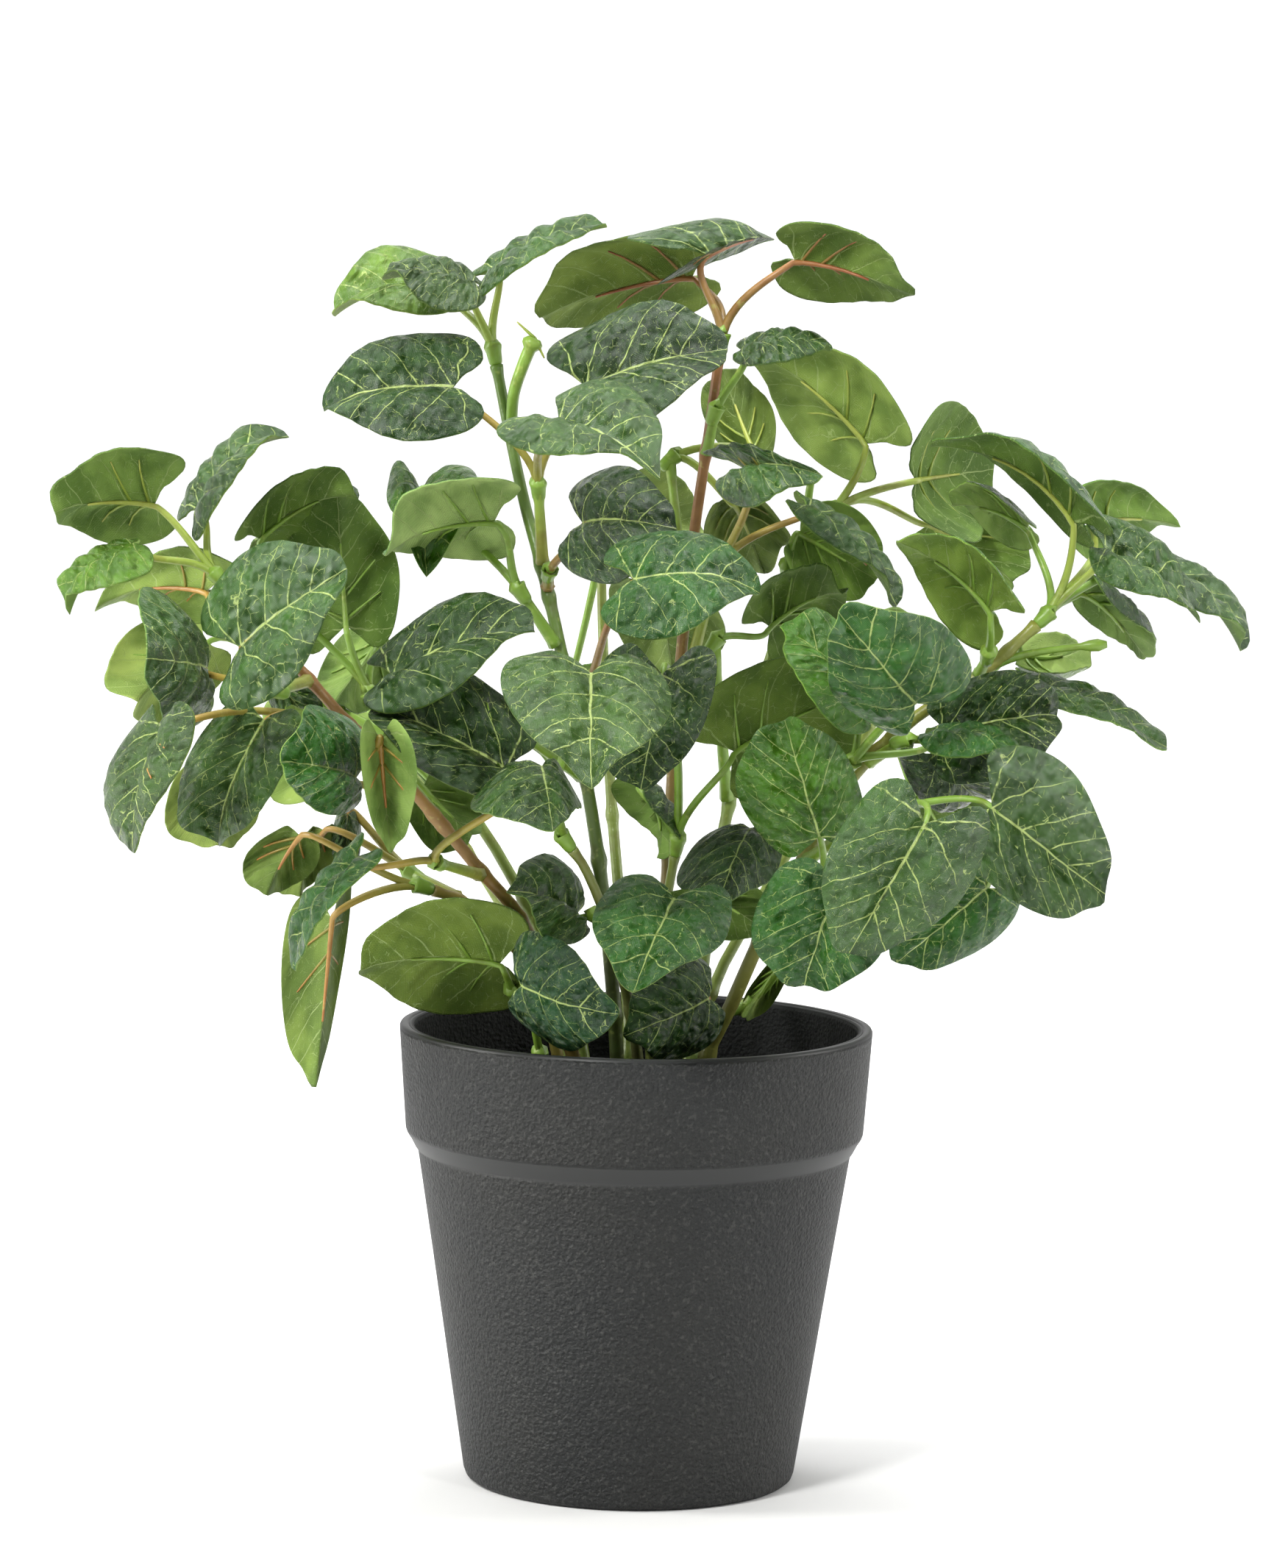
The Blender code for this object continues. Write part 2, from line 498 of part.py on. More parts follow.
def leaf_frame(leaf):
    """Notch, the way to the tip, and the two half-width vectors, from the drawn points."""
    notch, tip, left, right, ways, side, size = leaf
    tip = with_depth(notch, *tip, LEAF_LENGTH * size, ways[0])
    root = [a + (b - a) * SHOULDER_ALONG for a, b in zip(notch, tip)]
    base = place(notch)
    along = place(tip) - base
    middle = base + along * SHOULDER_ALONG
    halves = []
    for shoulder, way in ((left, ways[1]), (right, ways[2])):
        edge = with_depth(root, *shoulder, LEAF_HALF_WIDTH * size, way)
        halves.append(place(edge) - middle)
    up = along.cross(halves[0] - halves[1]).normalized() * side
    return base, along, halves, up


def blade_point(frame, u, v):
    """A place on the upper skin: u along the midrib, v across (left positive)."""
    base, along, halves, up = frame
    half = halves[0] if v > 0 else halves[1]
    return base + along * u + half * abs(v) + up * (4 * BLADE_BOW * MM * u * (1 - u))


def blade_mesh(name, leaf):
    """A heart-shaped blade: upper and lower skins that meet in a thin edge."""
    frame = leaf_frame(leaf)
    up = frame[3]
    shape = bmesh.new()
    base = shape.verts.new(blade_point(frame, 0, 0))
    tip = shape.verts.new(blade_point(frame, 1, 0))
    left = [shape.verts.new(blade_point(frame, u, v)) for u, v in HALF_OUTLINE]
    right = [shape.verts.new(blade_point(frame, u, -v)) for u, v in HALF_OUTLINE]
    for drop in (0.0, BLADE_THICKNESS * MM):
        near, far = (shape.verts.new(blade_point(frame, u, 0) - up * drop) for u in MIDRIB)
        for side in (left, right):
            chain = [base, *side[:5]]
            corners = [(near, a, b) for a, b in zip(chain, chain[1:])]
            corners.append((near, side[4], far))
            chain = [*side[4:], tip]
            corners += [(far, a, b) for a, b in zip(chain, chain[1:])]
            for corner in corners:
                shape.faces.new(corner)
    bmesh.ops.recalc_face_normals(shape, faces=shape.faces)
    mesh = bpy.data.meshes.new(name)
    shape.to_mesh(mesh)
    shape.free()
    return mesh


def stalk_route(start, leaving, leaf):
    """The leaf stalk's curve, from its collar up to and under the midrib."""
    frame = leaf_frame(leaf)
    notch, along, _, up = frame
    under = blade_point(frame, STALK_INTO_BLADE, 0) - up * (0.5 * MM)
    way = along.normalized()
    elbow = notch - up * (1.6 * MM) - way * (0.5 * MM)
    reach = (elbow - start).length
    arriving = (way * 0.35 + up * 0.75).normalized()
    first = bezier_route(start, start + leaving * (0.38 * reach),
                         elbow - arriving * (0.30 * reach), elbow, 3)
    return [*first, under]


def collar_mesh(name, centre, leaving):
    shape = bmesh.new()
    turn = leaving.to_track_quat("Z", "Y").to_matrix().to_4x4()
    bmesh.ops.create_cone(
        shape, cap_ends=True, segments=6, radius1=COLLAR_RADIUS * 0.72 * MM,
        radius2=COLLAR_RADIUS * MM, depth=COLLAR_LENGTH * MM,
        matrix=Matrix.Translation(centre) @ turn,
    )
    mesh = bpy.data.meshes.new(name)
    shape.to_mesh(mesh)
    shape.free()
    return mesh


def stem_curve(name):
    """The stem's middle line above the plug, and the line's radius at each of its points."""
    foot_radius, tip_radius, route = STEMS[name]
    curve = smooth_route([place(point) for point in route], STEM_SAMPLES)
    return curve, taper(foot_radius, tip_radius, len(curve) + 1)[1:]


def pushed_clear(point, curve, distance):
    """The point, moved straight out from the curve where it is nearer than the distance."""
    best = None
    for a, b in zip(curve, curve[1:]):
        share = (point - a).dot(b - a) / (b - a).length_squared
        nearest = a + (b - a) * min(1.0, max(0.0, share))
        if best is None or (point - nearest).length < (point - best).length:
            best = nearest
    away = point - best
    return point if away.length >= distance else best + away.normalized() * distance


def sprig_pieces(name):
    """The overlapping pieces of a sprig: its foot, its collar, its leaves' stalks and blades."""
    stem, spring, collar, leaves = SPRIGS[name]
    curve, radii = stem_curve(stem)
    wanted = place(spring)
    index = min(range(len(curve)), key=lambda i: (curve[i] - wanted).length)
    on_stem, radius = curve[index], radii[index]
    centre = place(collar)
    at_tip = index == len(curve) - 1
    if at_tip:
        way = (curve[-1] - curve[-2]).normalized()
        foot = on_stem + way * (GAP * MM)
        centre = foot + way * (2.6 * MM)
    else:
        centre = pushed_clear(centre, curve, (radius + COLLAR_RADIUS + 2 * GAP) * MM)
        run = (curve[index + 1] - on_stem).normalized()
        out = centre - on_stem
        out = (out - run * out.dot(run)).normalized()
        foot = on_stem + out * ((radius + FOOT_RADIUS + 2 * GAP) * MM)
        way = (centre - foot).normalized()
    spread = sum(((place(leaf[0]) - centre).normalized() for leaf in leaves), Vector())
    leaving = (way + spread.normalized()).normalized()
    pieces = [collar_mesh(f"{name}_collar", centre, way if at_tip else leaving)]
    if not at_tip:
        route = [foot.lerp(centre, t / 2) for t in range(3)]
        pieces.append(tube_mesh(f"{name}_foot", route, taper(FOOT_RADIUS, 1.4, 3), 1))
    for leaf in leaves:
        route = stalk_route(centre, leaving, leaf)
        radii = taper(STALK_RADIUS * 1.15, STALK_RADIUS * 0.8, len(route))
        pieces.append(tube_mesh(f"{name}_stalk", route, radii, 0))
        pieces.append(blade_mesh(f"{name}_blade", leaf))
    return pieces


def add_sprig(name, finish):
    return add_object(name, joined(name, sprig_pieces(name)), finish, smooth=False)


# ---------------------------------------------------------------- the plant
def build():
    for obj in list(bpy.data.objects):
        bpy.data.objects.remove(obj)
    charcoal = material("charcoal_plastic", CHARCOAL, 0.55)
    plug_grey = material("plug_grey", PLUG_GREY, 0.9)
    stem_green = material("stem_green", STEM_GREEN, 0.45)
    leaf_green = material("leaf_green", GREEN, 0.4)
    add_pot(charcoal)
    add_plug(plug_grey)
    for name, (foot_radius, tip_radius, route) in STEMS.items():
        add_stem(name, foot_radius, tip_radius, route, stem_green)
    for name in SPRIGS:
        add_sprig(name, leaf_green)


build()
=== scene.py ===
import math
import random

import bpy
import numpy as np
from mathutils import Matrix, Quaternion, Vector


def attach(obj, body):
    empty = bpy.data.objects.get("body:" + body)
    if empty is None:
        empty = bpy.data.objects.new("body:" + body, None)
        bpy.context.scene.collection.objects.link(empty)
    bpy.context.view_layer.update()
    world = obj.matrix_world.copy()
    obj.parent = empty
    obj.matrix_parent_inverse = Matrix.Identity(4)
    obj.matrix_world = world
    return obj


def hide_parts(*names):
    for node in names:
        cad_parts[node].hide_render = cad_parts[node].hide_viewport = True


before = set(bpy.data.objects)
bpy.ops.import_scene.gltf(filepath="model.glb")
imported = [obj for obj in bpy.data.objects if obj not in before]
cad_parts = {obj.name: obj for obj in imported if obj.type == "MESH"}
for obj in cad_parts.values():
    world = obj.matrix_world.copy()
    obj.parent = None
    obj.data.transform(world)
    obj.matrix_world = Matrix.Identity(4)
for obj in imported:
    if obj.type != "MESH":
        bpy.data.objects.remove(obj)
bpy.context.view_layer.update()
mm = 0.001
print("frame loaded:", len(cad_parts), "nodes")

# The crown is drawn as a front elevation seen from the sight point: a place is written
# (across, depth, height) in mm as it reads on the plant's middle plane.
sight = {"distance": 1500.0, "height": 335.0}

leafForm = {
    "length": 33.0,             # notch to tip, mm
    "halfWidth": 18.5,
    "thickness": 0.5,
    "shoulderAlong": 0.14,      # how far toward the tip the widest place lies
    "rings": (0.10, 0.21, 0.32, 0.43, 0.54, 0.65, 0.75, 0.84, 0.92, 0.97, 1.0),
    "points": 72,               # points round the edge
    "bow": 2.6,                 # rise of the midrib's middle
    "droop": 3.4,               # how far the margin hangs below the midrib
    "swell": 2.2,               # how far each half bulges beside the midrib
    "pucker": 1.21,             # height of the pillows between the veins
    "wave": 0.95,               # height of the waves in the margin
    "groove": 0.35,             # depth of the pressed midrib
    "pillowPitch": 7.6,         # from vein to vein, mm
    "middle": 0.30,             # how far along the rings' centre lies
    "ripple": 0.022,            # unevenness of the cut edge, as a share
    "swellVary": (0.6, 1.2), "curl": (-8.0, 5.0),   # least and most, leaf to leaf
    "toneVary": (0.90, 1.20), "warmVary": (0.92, 1.10),
}
# half of the edge, notch round to tip: (along, across) as shares of length and half width
halfOutline = ((-0.11, 0.22), (-0.23, 0.52), (-0.12, 0.86), (0.14, 1.00), (0.42, 0.95),
               (0.70, 0.70), (0.90, 0.36))

stalkForm = {
    "radius": 1.155, "endRadius": 0.8, "footRadius": 1.3, "ribRadius": 0.75, "ribTip": 0.28,
    "veinRadius": 0.48, "veinTip": 0.22,
    "sideRibs": ((0.20, 0.42, 0.60), (0.04, 0.17, 0.66)),   # start, end along, end across
    "collarRadius": 2.3, "collarClear": 2.5, "collarLength": 5.0, "gap": 0.4,
    # the cup from foot to mouth: place along it and radius, as shares
    "collar": ((-0.64, 0.50), (-0.48, 0.72), (-0.2, 0.80), (0.1, 0.86), (0.32, 1.0),
               (0.42, 1.0), (0.5, 0.90), (0.48, 0.6)),
    "ribs": (0.06, 0.16, 0.28, 0.40, 0.52, 0.62),   # rings of the rib under the midrib
}

up, under = 1, -1
toward = {"n": -1, "f": 1, "0": 0}

stems = {
    "stem_a": (2.2, 1.5, ((-3, -9, 68), (-5, -12, 112), (-9, -14, 150), (-14, -16, 180),
                          (-21, -14, 213), (-26, -9, 233), (-30, -4, 247), (-34, 0, 264),
                          (-38, 3, 283))),
    "stem_b": (2.1, 1.4, ((5, 6, 68), (6, 7, 112), (7, 8, 150), (9, 8, 200), (12, 6, 238),
                          (15, 4, 262), (18, 3, 287))),
    "stem_c": (2.3, 1.6, ((12, -4, 68), (17, -7, 105), (24, -12, 122), (32, -18, 141),
                          (42, -24, 160), (52, -28, 179), (69, -29, 196), (85, -26, 207),
                          (99, -22, 220))),
    "stem_d": (2.1, 1.4, ((13, 9, 68), (15, 16, 112), (20, 24, 160), (29, 29, 200),
                          (39, 31, 230), (45, 32, 244))),
    "stem_e": (2.2, 1.4, ((-11, -7, 68), (-15, -10, 105), (-28, -19, 140), (-40, -26, 155),
                          (-52, -30, 169), (-61, -32, 179), (-72, -32, 190),
                          (-84, -32, 203), (-95, -29, 215), (-105, -25, 226))),
    "stem_f": (2.1, 1.4, ((-9, 9, 68), (-14, 15, 112), (-30, 21, 150), (-50, 23, 180),
                          (-66, 21, 197))),
    "stem_g": (2.0, 1.4, ((-17, 1, 68), (-19, 0, 105), (-29, -4, 133), (-42, -9, 146),
                          (-52, -12, 150))),
    "stem_h": (1.9, 1.3, ((4, -13, 68), (0, -20, 112), (-7, -28, 140), (-13, -33, 155),
                          (-17, -35, 161))),
    "stem_i": (1.9, 1.3, ((3, -2, 68), (4, -5, 112), (6, -16, 140), (9, -23, 160))),
    "stem_j": (2.0, 1.3, ((-2, 15, 68), (-2, 26, 118), (-7, 42, 170), (-10, 52, 213),
                          (-11, 58, 240))),
    "stem_k": (2.0, 1.3, ((7, 17, 68), (16, 34, 118), (37, 53, 160), (58, 68, 194))),
    "stem_l": (2.0, 1.3, ((-9, 18, 68), (-20, 35, 118), (-42, 54, 158), (-63, 66, 186))),
}

# Each sprig, named by its stem's letter: where it springs from, its collar, and its leaves.
# A leaf is drawn by its notch (across, depth, height), then its tip and the two shoulders
# where it is widest (across, height), the left one first for an eye that looks toward the
# tip.  Three letters say whether the tip and each shoulder stand nearer than the notch,
# farther, or level; how far follows from the leaf's true length and half width.  Then the
# side that shows in front, and the leaf's size against the usual one.
sprigs = {
    "a1": ((-38, 3, 283), (-39, 3, 289), (
        ((-51, 15, 302), (-79.5, 296.5), (-58, 299), (-58, 313.5), "nnf", up, 0.9),
        ((-45, -4, 303), (-67, 303.5), (-49, 299), (-50, 307.5), "nnf", up, 0.85),
        ((-37.5, 4, 306.5), (-10, 317), (-36, 311.5), (-36.5, 305.5), "nfn", up, 0.9),
    )),
    "a2": ((-26, -9, 233), (-27, -16, 252), (
        ((-49, -24, 277.5), (-82, 272.5), (-54, 266), (-54, 292), "0nf", up, 1.0),
        ((-22, -60, 269), (3, 257.5), (-9, 280), (-33, 265.5), "nfn", up, 1.1),
        ((-15.5, -24, 278.5), (20.5, 288), (-14, 297), (-6, 269), "0fn", up, 1.05),
    )),
    "a3": ((-24, -11, 225), (-24, -17, 231), (
        ((-16, -42, 244), (8, 243), (-10, 258.5), (-13, 230), "nfn", up, 0.95),
    )),
    "a4": ((-16, -16, 190), (-13, -34, 204), (
        ((-2.5, -78, 230), (29.5, 229), (1, 242.5), (1, 217), "0fn", up, 1.0),
    )),
    "a5": ((-20, -15, 208), (-31, -20, 226), (
        ((-38.5, -28, 244), (-65.5, 236), (-44.5, 236), (-42, 257), "nfn", under, 1.0),
        ((-56.5, -2, 251.5), (-55, 231), (-42, 256), (-65.5, 254.5), "n00", up, 1.0),
    )),
    "a6": ((-14, -16, 180), (-30, -36, 190), (
        ((-63, -52, 205), (-27, 217.5), (-56, 221), (-56, 200), "0fn", up, 1.05),
        ((-34.5, -59, 181.5), (-68, 197), (-49, 178), (-38, 204), "0n0", up, 1.0),
    )),
    "b1": ((18, 3, 287), (18, 3, 292), (
        ((15, 4, 312), (31, 316), (-2, 318.5), (6, 306), "ffn", up, 0.9),
        ((37, 2, 311), (65, 301), (44, 321), (41, 303.5), "nnf", under, 0.95),
        ((10.5, 26, 306.5), (-27.5, 295), (2, 295.5), (-2, 319), "0fn", under, 1.1),
    )),
    "b2": ((15, 4, 262), (17, -1, 272), (
        ((25, -4, 287.5), (46, 286.5), (31, 291), (30, 286), "nfn", up, 0.85),
    )),
    "b3": ((11, 7, 225), (6, 15, 260), (
        ((27, 24, 262), (19, 283), (15, 268), (31.5, 272), "fff", under, 0.85),
        ((22, 14, 250), (30, 233), (35, 246), (15, 240), "fff", under, 0.8),
    )),
    "b4": ((9, 8, 205), (18, 0, 232), (
        ((25, -28, 258.5), (45, 256.5), (17, 264.5), (23, 250.5), "nfn", up, 0.95),
        ((41, -6, 247), (63.5, 225), (48, 247), (45, 243), "nfn", up, 0.95),
    )),
    "c1": ((99, -22, 220), (102, -21, 224), (
        ((108, -20, 247), (71, 264), (99, 251), (108, 255.5), "0fn", under, 1.1),
        ((112, 16, 246), (134, 246), (112, 257), (115, 238), "fnf", under, 1.0),
        ((117, -24, 238), (140, 222), (119, 249), (121, 233), "nfn", up, 1.0),
    )),
    "c2": ((92, -24, 213), (101, -8, 222), (
        ((126, -4, 237), (151, 215), (137, 236.5), (132, 231), "0fn", up, 1.0),
        ((111, 8, 229), (126, 210.5), (122, 226), (114, 222), "fnf", under, 0.9),
        ((96, 4, 245), (77, 249.5), (91, 243.5), (89, 253), "nfn", under, 0.85),
    )),
    "c3": ((85, -26, 207), (87, -34, 212), (
        ((87.5, -44, 224), (63.5, 240.5), (80, 219.5), (90, 234), "nfn", under, 0.95),
    )),
    "c4": ((76, -28, 201), (84, -16, 206), (
        ((100, -14, 203.5), (131.5, 187), (108, 206), (103, 201.5), "0fn", up, 1.0),
        ((95, 12, 212), (113, 215), (100, 216.5), (104, 207), "ffn", under, 0.85),
    )),
    "c5": ((52, -28, 179), (53, -48, 184), (
        ((69, -78, 199.5), (49.5, 222), (52.5, 196.5), (80.5, 215), "n00", up, 1.05),
        ((57, -50, 199), (35, 218), (46.5, 197.5), (56, 216), "nnf", up, 1.0),
        ((75, -52, 191.5), (97, 183), (82, 194), (79, 189.5), "nfn", up, 0.9),
    )),
    "c6": ((60, -29, 187), (66, -36, 190), (
        ((77, -35, 192.5), (105.5, 198), (84, 208), (88, 180), "00n", up, 1.0),
        ((75, -38, 187), (86, 175), (88, 187), (68.5, 178), "f00", up, 0.85),
    )),
    "c7": ((42, -24, 160), (57, -50, 170), (
        ((72, -104, 169), (53, 135), (86.5, 158), (52, 170), "000", up, 1.1),
        ((89, -81, 173.5), (118, 152), (104, 186.5), (90, 153), "000", up, 1.1),
    )),
    "c8": ((38, -21, 151), (46, -44, 154), (
        ((51, -82, 154), (42.5, 127), (63, 141), (30, 150), "0nn", up, 1.0),
        ((45.5, -64, 165.5), (36, 195), (26, 172), (56, 177), "000", up, 1.0),
    )),
    "c9": ((32, -18, 141), (44, -30, 146), (
        ((88, -56, 153), (66, 134), (92, 141), (70, 156), "000", up, 0.95),
    )),
    "d1": ((45, 32, 244), (47, 33, 248), (
        ((55.5, 40, 265.5), (27, 288), (44, 262), (60.5, 280), "0fn", under, 1.0),
        ((67.5, 44, 256), (87.5, 259), (74, 276), (79, 240.5), "f00", under, 1.05),
        ((72, 62, 245), (93, 231), (90, 246), (76, 231), "0ff", under, 0.85),
    )),
    "d2": ((39, 31, 230), (36, 23, 233), (
        ((39, 19, 242), (58, 231), (52, 249), (42, 227.5), "000", under, 0.85),
    )),
    "d3": ((25, 27, 180), (18, 10, 214), (
        ((32, 14, 219), (50, 228), (30, 230), (42, 213), "nnf", under, 0.9),
    )),
    "e1": ((-105, -25, 226), (-108, -24, 230), (
        ((-124, -22, 247), (-149, 244), (-129, 237.5), (-125.5, 262.5), "nfn", under, 1.0),
        ((-112, -12, 246), (-92.5, 266.5), (-114.5, 253.5), (-108.5, 247.5), "0fn", up, 0.95),
        ((-129, -34, 235.5), (-145.5, 220.5), (-131.5, 229), (-136.5, 233.5), "nnf", up, 0.8),
    )),
    "e2": ((-95, -29, 215), (-103, -14, 221), (
        ((-110, -4, 225.5), (-138, 222.5), (-115, 219.5), (-108, 237), "ffn", under, 1.0),
    )),
    "e3": ((-84, -32, 203), (-92, -48, 200), (
        ((-101.5, -62, 211.5), (-73.7, 231), (-105.5, 231.5), (-95.5, 199), "0fn", up, 1.1),
        ((-109.3, -36, 205.5), (-125.5, 207.5), (-115.5, 189), (-122, 226), "n00", up, 1.05),
    )),
    "e4": ((-72, -32, 190), (-87, -36, 194), (
        ((-121.5, -68, 190), (-127.7, 158.5), (-117.5, 186), (-133.5, 184), "0nf", up, 1.0),
        ((-95.5, -48, 192.5), (-107.5, 161.5), (-89.8, 181), (-114.5, 186), "0n0", up, 1.0),
    )),
    "e5": ((-61, -32, 179), (-67, -46, 176), (
        ((-71.5, -62, 178.5), (-91.5, 182), (-78, 169), (-77, 197), "nnf", up, 0.95),
        ((-66, -66, 188), (-63, 160), (-57.2, 182.5), (-71, 183), "0nn", under, 0.8),
    )),
    "e6": ((-40, -26, 155), (-51, -46, 157), (
        ((-72, -60, 156), (-87.5, 129.5), (-73.5, 151.5), (-78, 158), "nnf", up, 0.95),
        ((-25, -74, 182.5), (-22, 165.5), (-15.5, 176), (-43, 174), "n00", up, 0.9),
    )),
    "e7": ((-52, -30, 169), (-64, -22, 184), (
        ((-93, -8, 204), (-83, 192), (-84, 203), (-92, 193), "000", up, 0.7),
        ((-55, -12, 176), (-42, 164), (-44, 176), (-56, 163), "0ff", under, 0.7),
    )),
    "f1": ((-66, 21, 197), (-69, 20, 201), (
        ((-75, 16, 217), (-77.5, 250), (-91.5, 222), (-61.5, 226), "0ff", under, 1.0),
        ((-97, 14, 239), (-72.5, 251.5), (-96, 251), (-91, 239.5), "nnf", under, 0.9),
        ((-66, 36, 214), (-77, 198.5), (-63, 201), (-79, 210), "nff", under, 0.85),
    )),
    "f2": ((-58, 23, 189), (-78, 24, 196), (
        ((-110, 18, 212), (-129, 196), (-113, 196), (-128, 216), "nff", under, 0.95),
        ((-106, 10, 181), (-107, 160.5), (-97, 171), (-121, 172), "0ff", under, 0.85),
    )),
    "g1": ((-52, -12, 150), (-56, -13, 151), (
        ((-77.5, -22, 142), (-81, 99.5), (-73, 146), (-90, 134), "0ff", under, 1.1),
        ((-86, -16, 163.5), (-94, 148.5), (-83, 156), (-98.5, 160), "0ff", under, 0.7),
    )),
    "g2": ((-46, -10, 148), (-57, 4, 154), (
        ((-80, 6, 165), (-86, 148.5), (-78, 158), (-91, 157), "0ff", under, 0.7),
        ((-74, 8, 169), (-74, 155), (-70.5, 162), (-78, 163), "000", up, 0.55),
    )),
    "g3": ((-22, -2, 118), (-31, -14, 124), (
        ((-35, -20, 132), (-71, 130.5), (-42, 119.5), (-42, 149), "0fn", under, 1.05),
    )),
    "g4": ((-18, 0, 95), (-24, -16, 108), (
        ((-29.5, -38, 126), (-6.3, 118.5), (-24, 139.5), (-24, 111), "n00", up, 0.9),
    )),
    "h1": ((-17, -35, 161), (-18, -36, 165), (
        ((-13, -92, 206), (-12.5, 178.5), (6.8, 202), (-35.5, 205), "nnn", up, 1.1),
    )),
    "h2": ((-7, -28, 140), (-10, -22, 144), (
        ((-15.5, -20, 144.5), (-33, 150), (-19, 139), (-20, 158.5), "nnf", up, 0.85),
    )),
    "h3": ((-7, -28, 141), (3, -46, 146), (
        ((9, -68, 149), (-1, 125.5), (24, 144), (-9.5, 150), "n00", up, 0.95),
    )),
    "h4": ((1, -18, 105), (10, -30, 112), (
        ((18.5, -26, 123.5), (-2, 114), (16, 109.5), (8, 135), "n00", up, 0.8),
    )),
    "i1": ((9, -23, 160), (11, -25, 165), (
        ((23.5, -34, 187), (57, 203.5), (19.5, 205.5), (42, 178), "0nf", under, 1.1),
        ((5, -66, 206), (0, 176.5), (18.5, 203), (-13, 203), "000", up, 1.0),
        ((2, -20, 177), (5, 159), (6.5, 172), (-2.5, 174), "0nf", under, 0.6),
    )),
    "i2": ((6, -16, 140), (12, -30, 148), (
        ((14, -46, 152), (33, 141), (26, 154.5), (12, 142), "000", under, 0.8),
        ((28, -36, 167.5), (20.5, 149), (36, 160), (11, 160), "n00", up, 0.85),
    )),
    "i3": ((4, -5, 112), (28, 6, 122), (
        ((36, -2, 132), (27.5, 118.5), (36, 125), (30, 129), "0ff", under, 0.5),
    )),
    "j1": ((-11, 58, 240), (-11, 60, 245), (
        ((-4, 72, 248), (18, 240), (4, 256), (6, 230), "fff", under, 0.95),
        ((2, 84, 228), (8, 205), (20, 222), (-8, 222), "fff", under, 1.0),
        ((-18, 78, 206), (-20, 182), (-4, 198), (-32, 198), "fff", under, 1.0),
    )),
    "k1": ((58, 68, 194), (58, 69, 199), (
        ((60, 84, 203), (62, 222), (50, 214), (74, 214), "fff", under, 0.95),
        ((70, 88, 178), (82, 156), (92, 172), (66, 162), "fff", under, 1.0),
        ((38, 86, 176), (40, 188), (28, 178), (52, 178), "fff", under, 0.9),
    )),
    "l1": ((-63, 66, 186), (-63, 67, 191), (
        ((-74, 80, 188), (-98, 184), (-84, 172), (-86, 200), "fff", under, 1.0),
        ((-60, 86, 186), (-66, 206), (-76, 196), (-50, 200), "fff", under, 0.95),
        ((-48, 88, 170), (-50, 188), (-62, 180), (-36, 180), "fff", under, 0.9),
    )),
}

# colours of the woven leaves, upper side then underside, and of the moulded stalks
leafTones = {
    "dark": ((0.014, 0.050, 0.006), (0.180, 0.285, 0.070)),
    "mid": ((0.028, 0.085, 0.008), (0.290, 0.415, 0.115)),
    "vivid": ((0.020, 0.105, 0.009), (0.290, 0.415, 0.115)),
    "teal": ((0.012, 0.056, 0.020), (0.215, 0.330, 0.105)),
    "grey": ((0.040, 0.098, 0.018), (0.265, 0.385, 0.125)),
    "bright": ((0.060, 0.175, 0.005), (0.310, 0.460, 0.105)),
    "light": ((0.115, 0.225, 0.025), (0.410, 0.550, 0.180)),
    "pale": ((0.065, 0.180, 0.030), (0.660, 0.800, 0.350)),
    "olive": ((0.034, 0.100, 0.012), (0.195, 0.295, 0.065)),
}
leafToneOf = {
    "a1": ("light", "grey", "mid"), "a2": ("dark", "grey", "dark"), "a3": ("dark",),
    "a4": ("vivid",), "a5": ("pale", "bright"), "a6": ("dark", "dark"),
    "b1": ("grey", "olive", "mid"), "b2": ("mid",), "b3": ("olive", "mid"), "b4": ("mid", "mid"),
    "c1": ("olive", "bright", "grey"), "c2": ("grey", "mid", "light"), "c3": ("bright",),
    "c4": ("grey", "light"), "c5": ("vivid", "bright", "vivid"), "c6": ("dark", "dark"),
    "c7": ("grey", "grey"), "c8": ("vivid", "bright"), "c9": ("vivid",),
    "d1": ("mid", "olive", "olive"), "d2": ("bright",), "d3": ("olive",),
    "e1": ("mid", "mid", "light"), "e2": ("mid",), "e3": ("grey", "grey"),
    "e4": ("grey", "grey"), "e5": ("vivid", "light"), "e6": ("vivid", "mid"), "e7": ("mid", "mid"),
    "f1": ("olive", "olive", "mid"), "f2": ("light", "light"), "g1": ("olive", "mid"),
    "g2": ("mid", "mid"), "g3": ("olive",), "g4": ("teal",), "h1": ("grey",), "h2": ("mid",),
    "h3": ("vivid",), "h4": ("dark",), "i1": ("olive", "dark", "mid"), "i2": ("olive", "dark"),
    "i3": ("mid",), "j1": ("mid", "mid", "olive"), "k1": ("mid", "olive", "mid"),
    "l1": ("mid", "mid", "mid"),
}
leafBows = {"c1.0": 6.0, "a1.2": 3.0, "c2.0": 3.5, "c4.0": 3.0, "a4.0": 3.0, "g1.0": 3.0}
stalkTones = {
    "green": ((0.170, 0.300, 0.035), (0.200, 0.330, 0.045)),
    "yellow": ((0.230, 0.330, 0.045), (0.330, 0.360, 0.060)),
    "orange": ((0.260, 0.260, 0.045), (0.420, 0.170, 0.040)),
    "brown": ((0.260, 0.170, 0.045), (0.290, 0.085, 0.028)),
}
stalkToneOf = {
    "a1": "yellow", "a2": "orange", "a3": "brown", "a4": "brown", "b1": "brown",
    "b3": "yellow", "b4": "orange", "c1": "yellow", "c6": "yellow", "d1": "yellow",
    "e1": "yellow", "e2": "orange", "e3": "orange", "e4": "orange", "e5": "orange",
    "e6": "orange", "g1": "orange", "g2": "orange", "h4": "brown", "i1": "green",
}
backStemTone = ((0.120, 0.170, 0.030), (0.200, 0.260, 0.045))
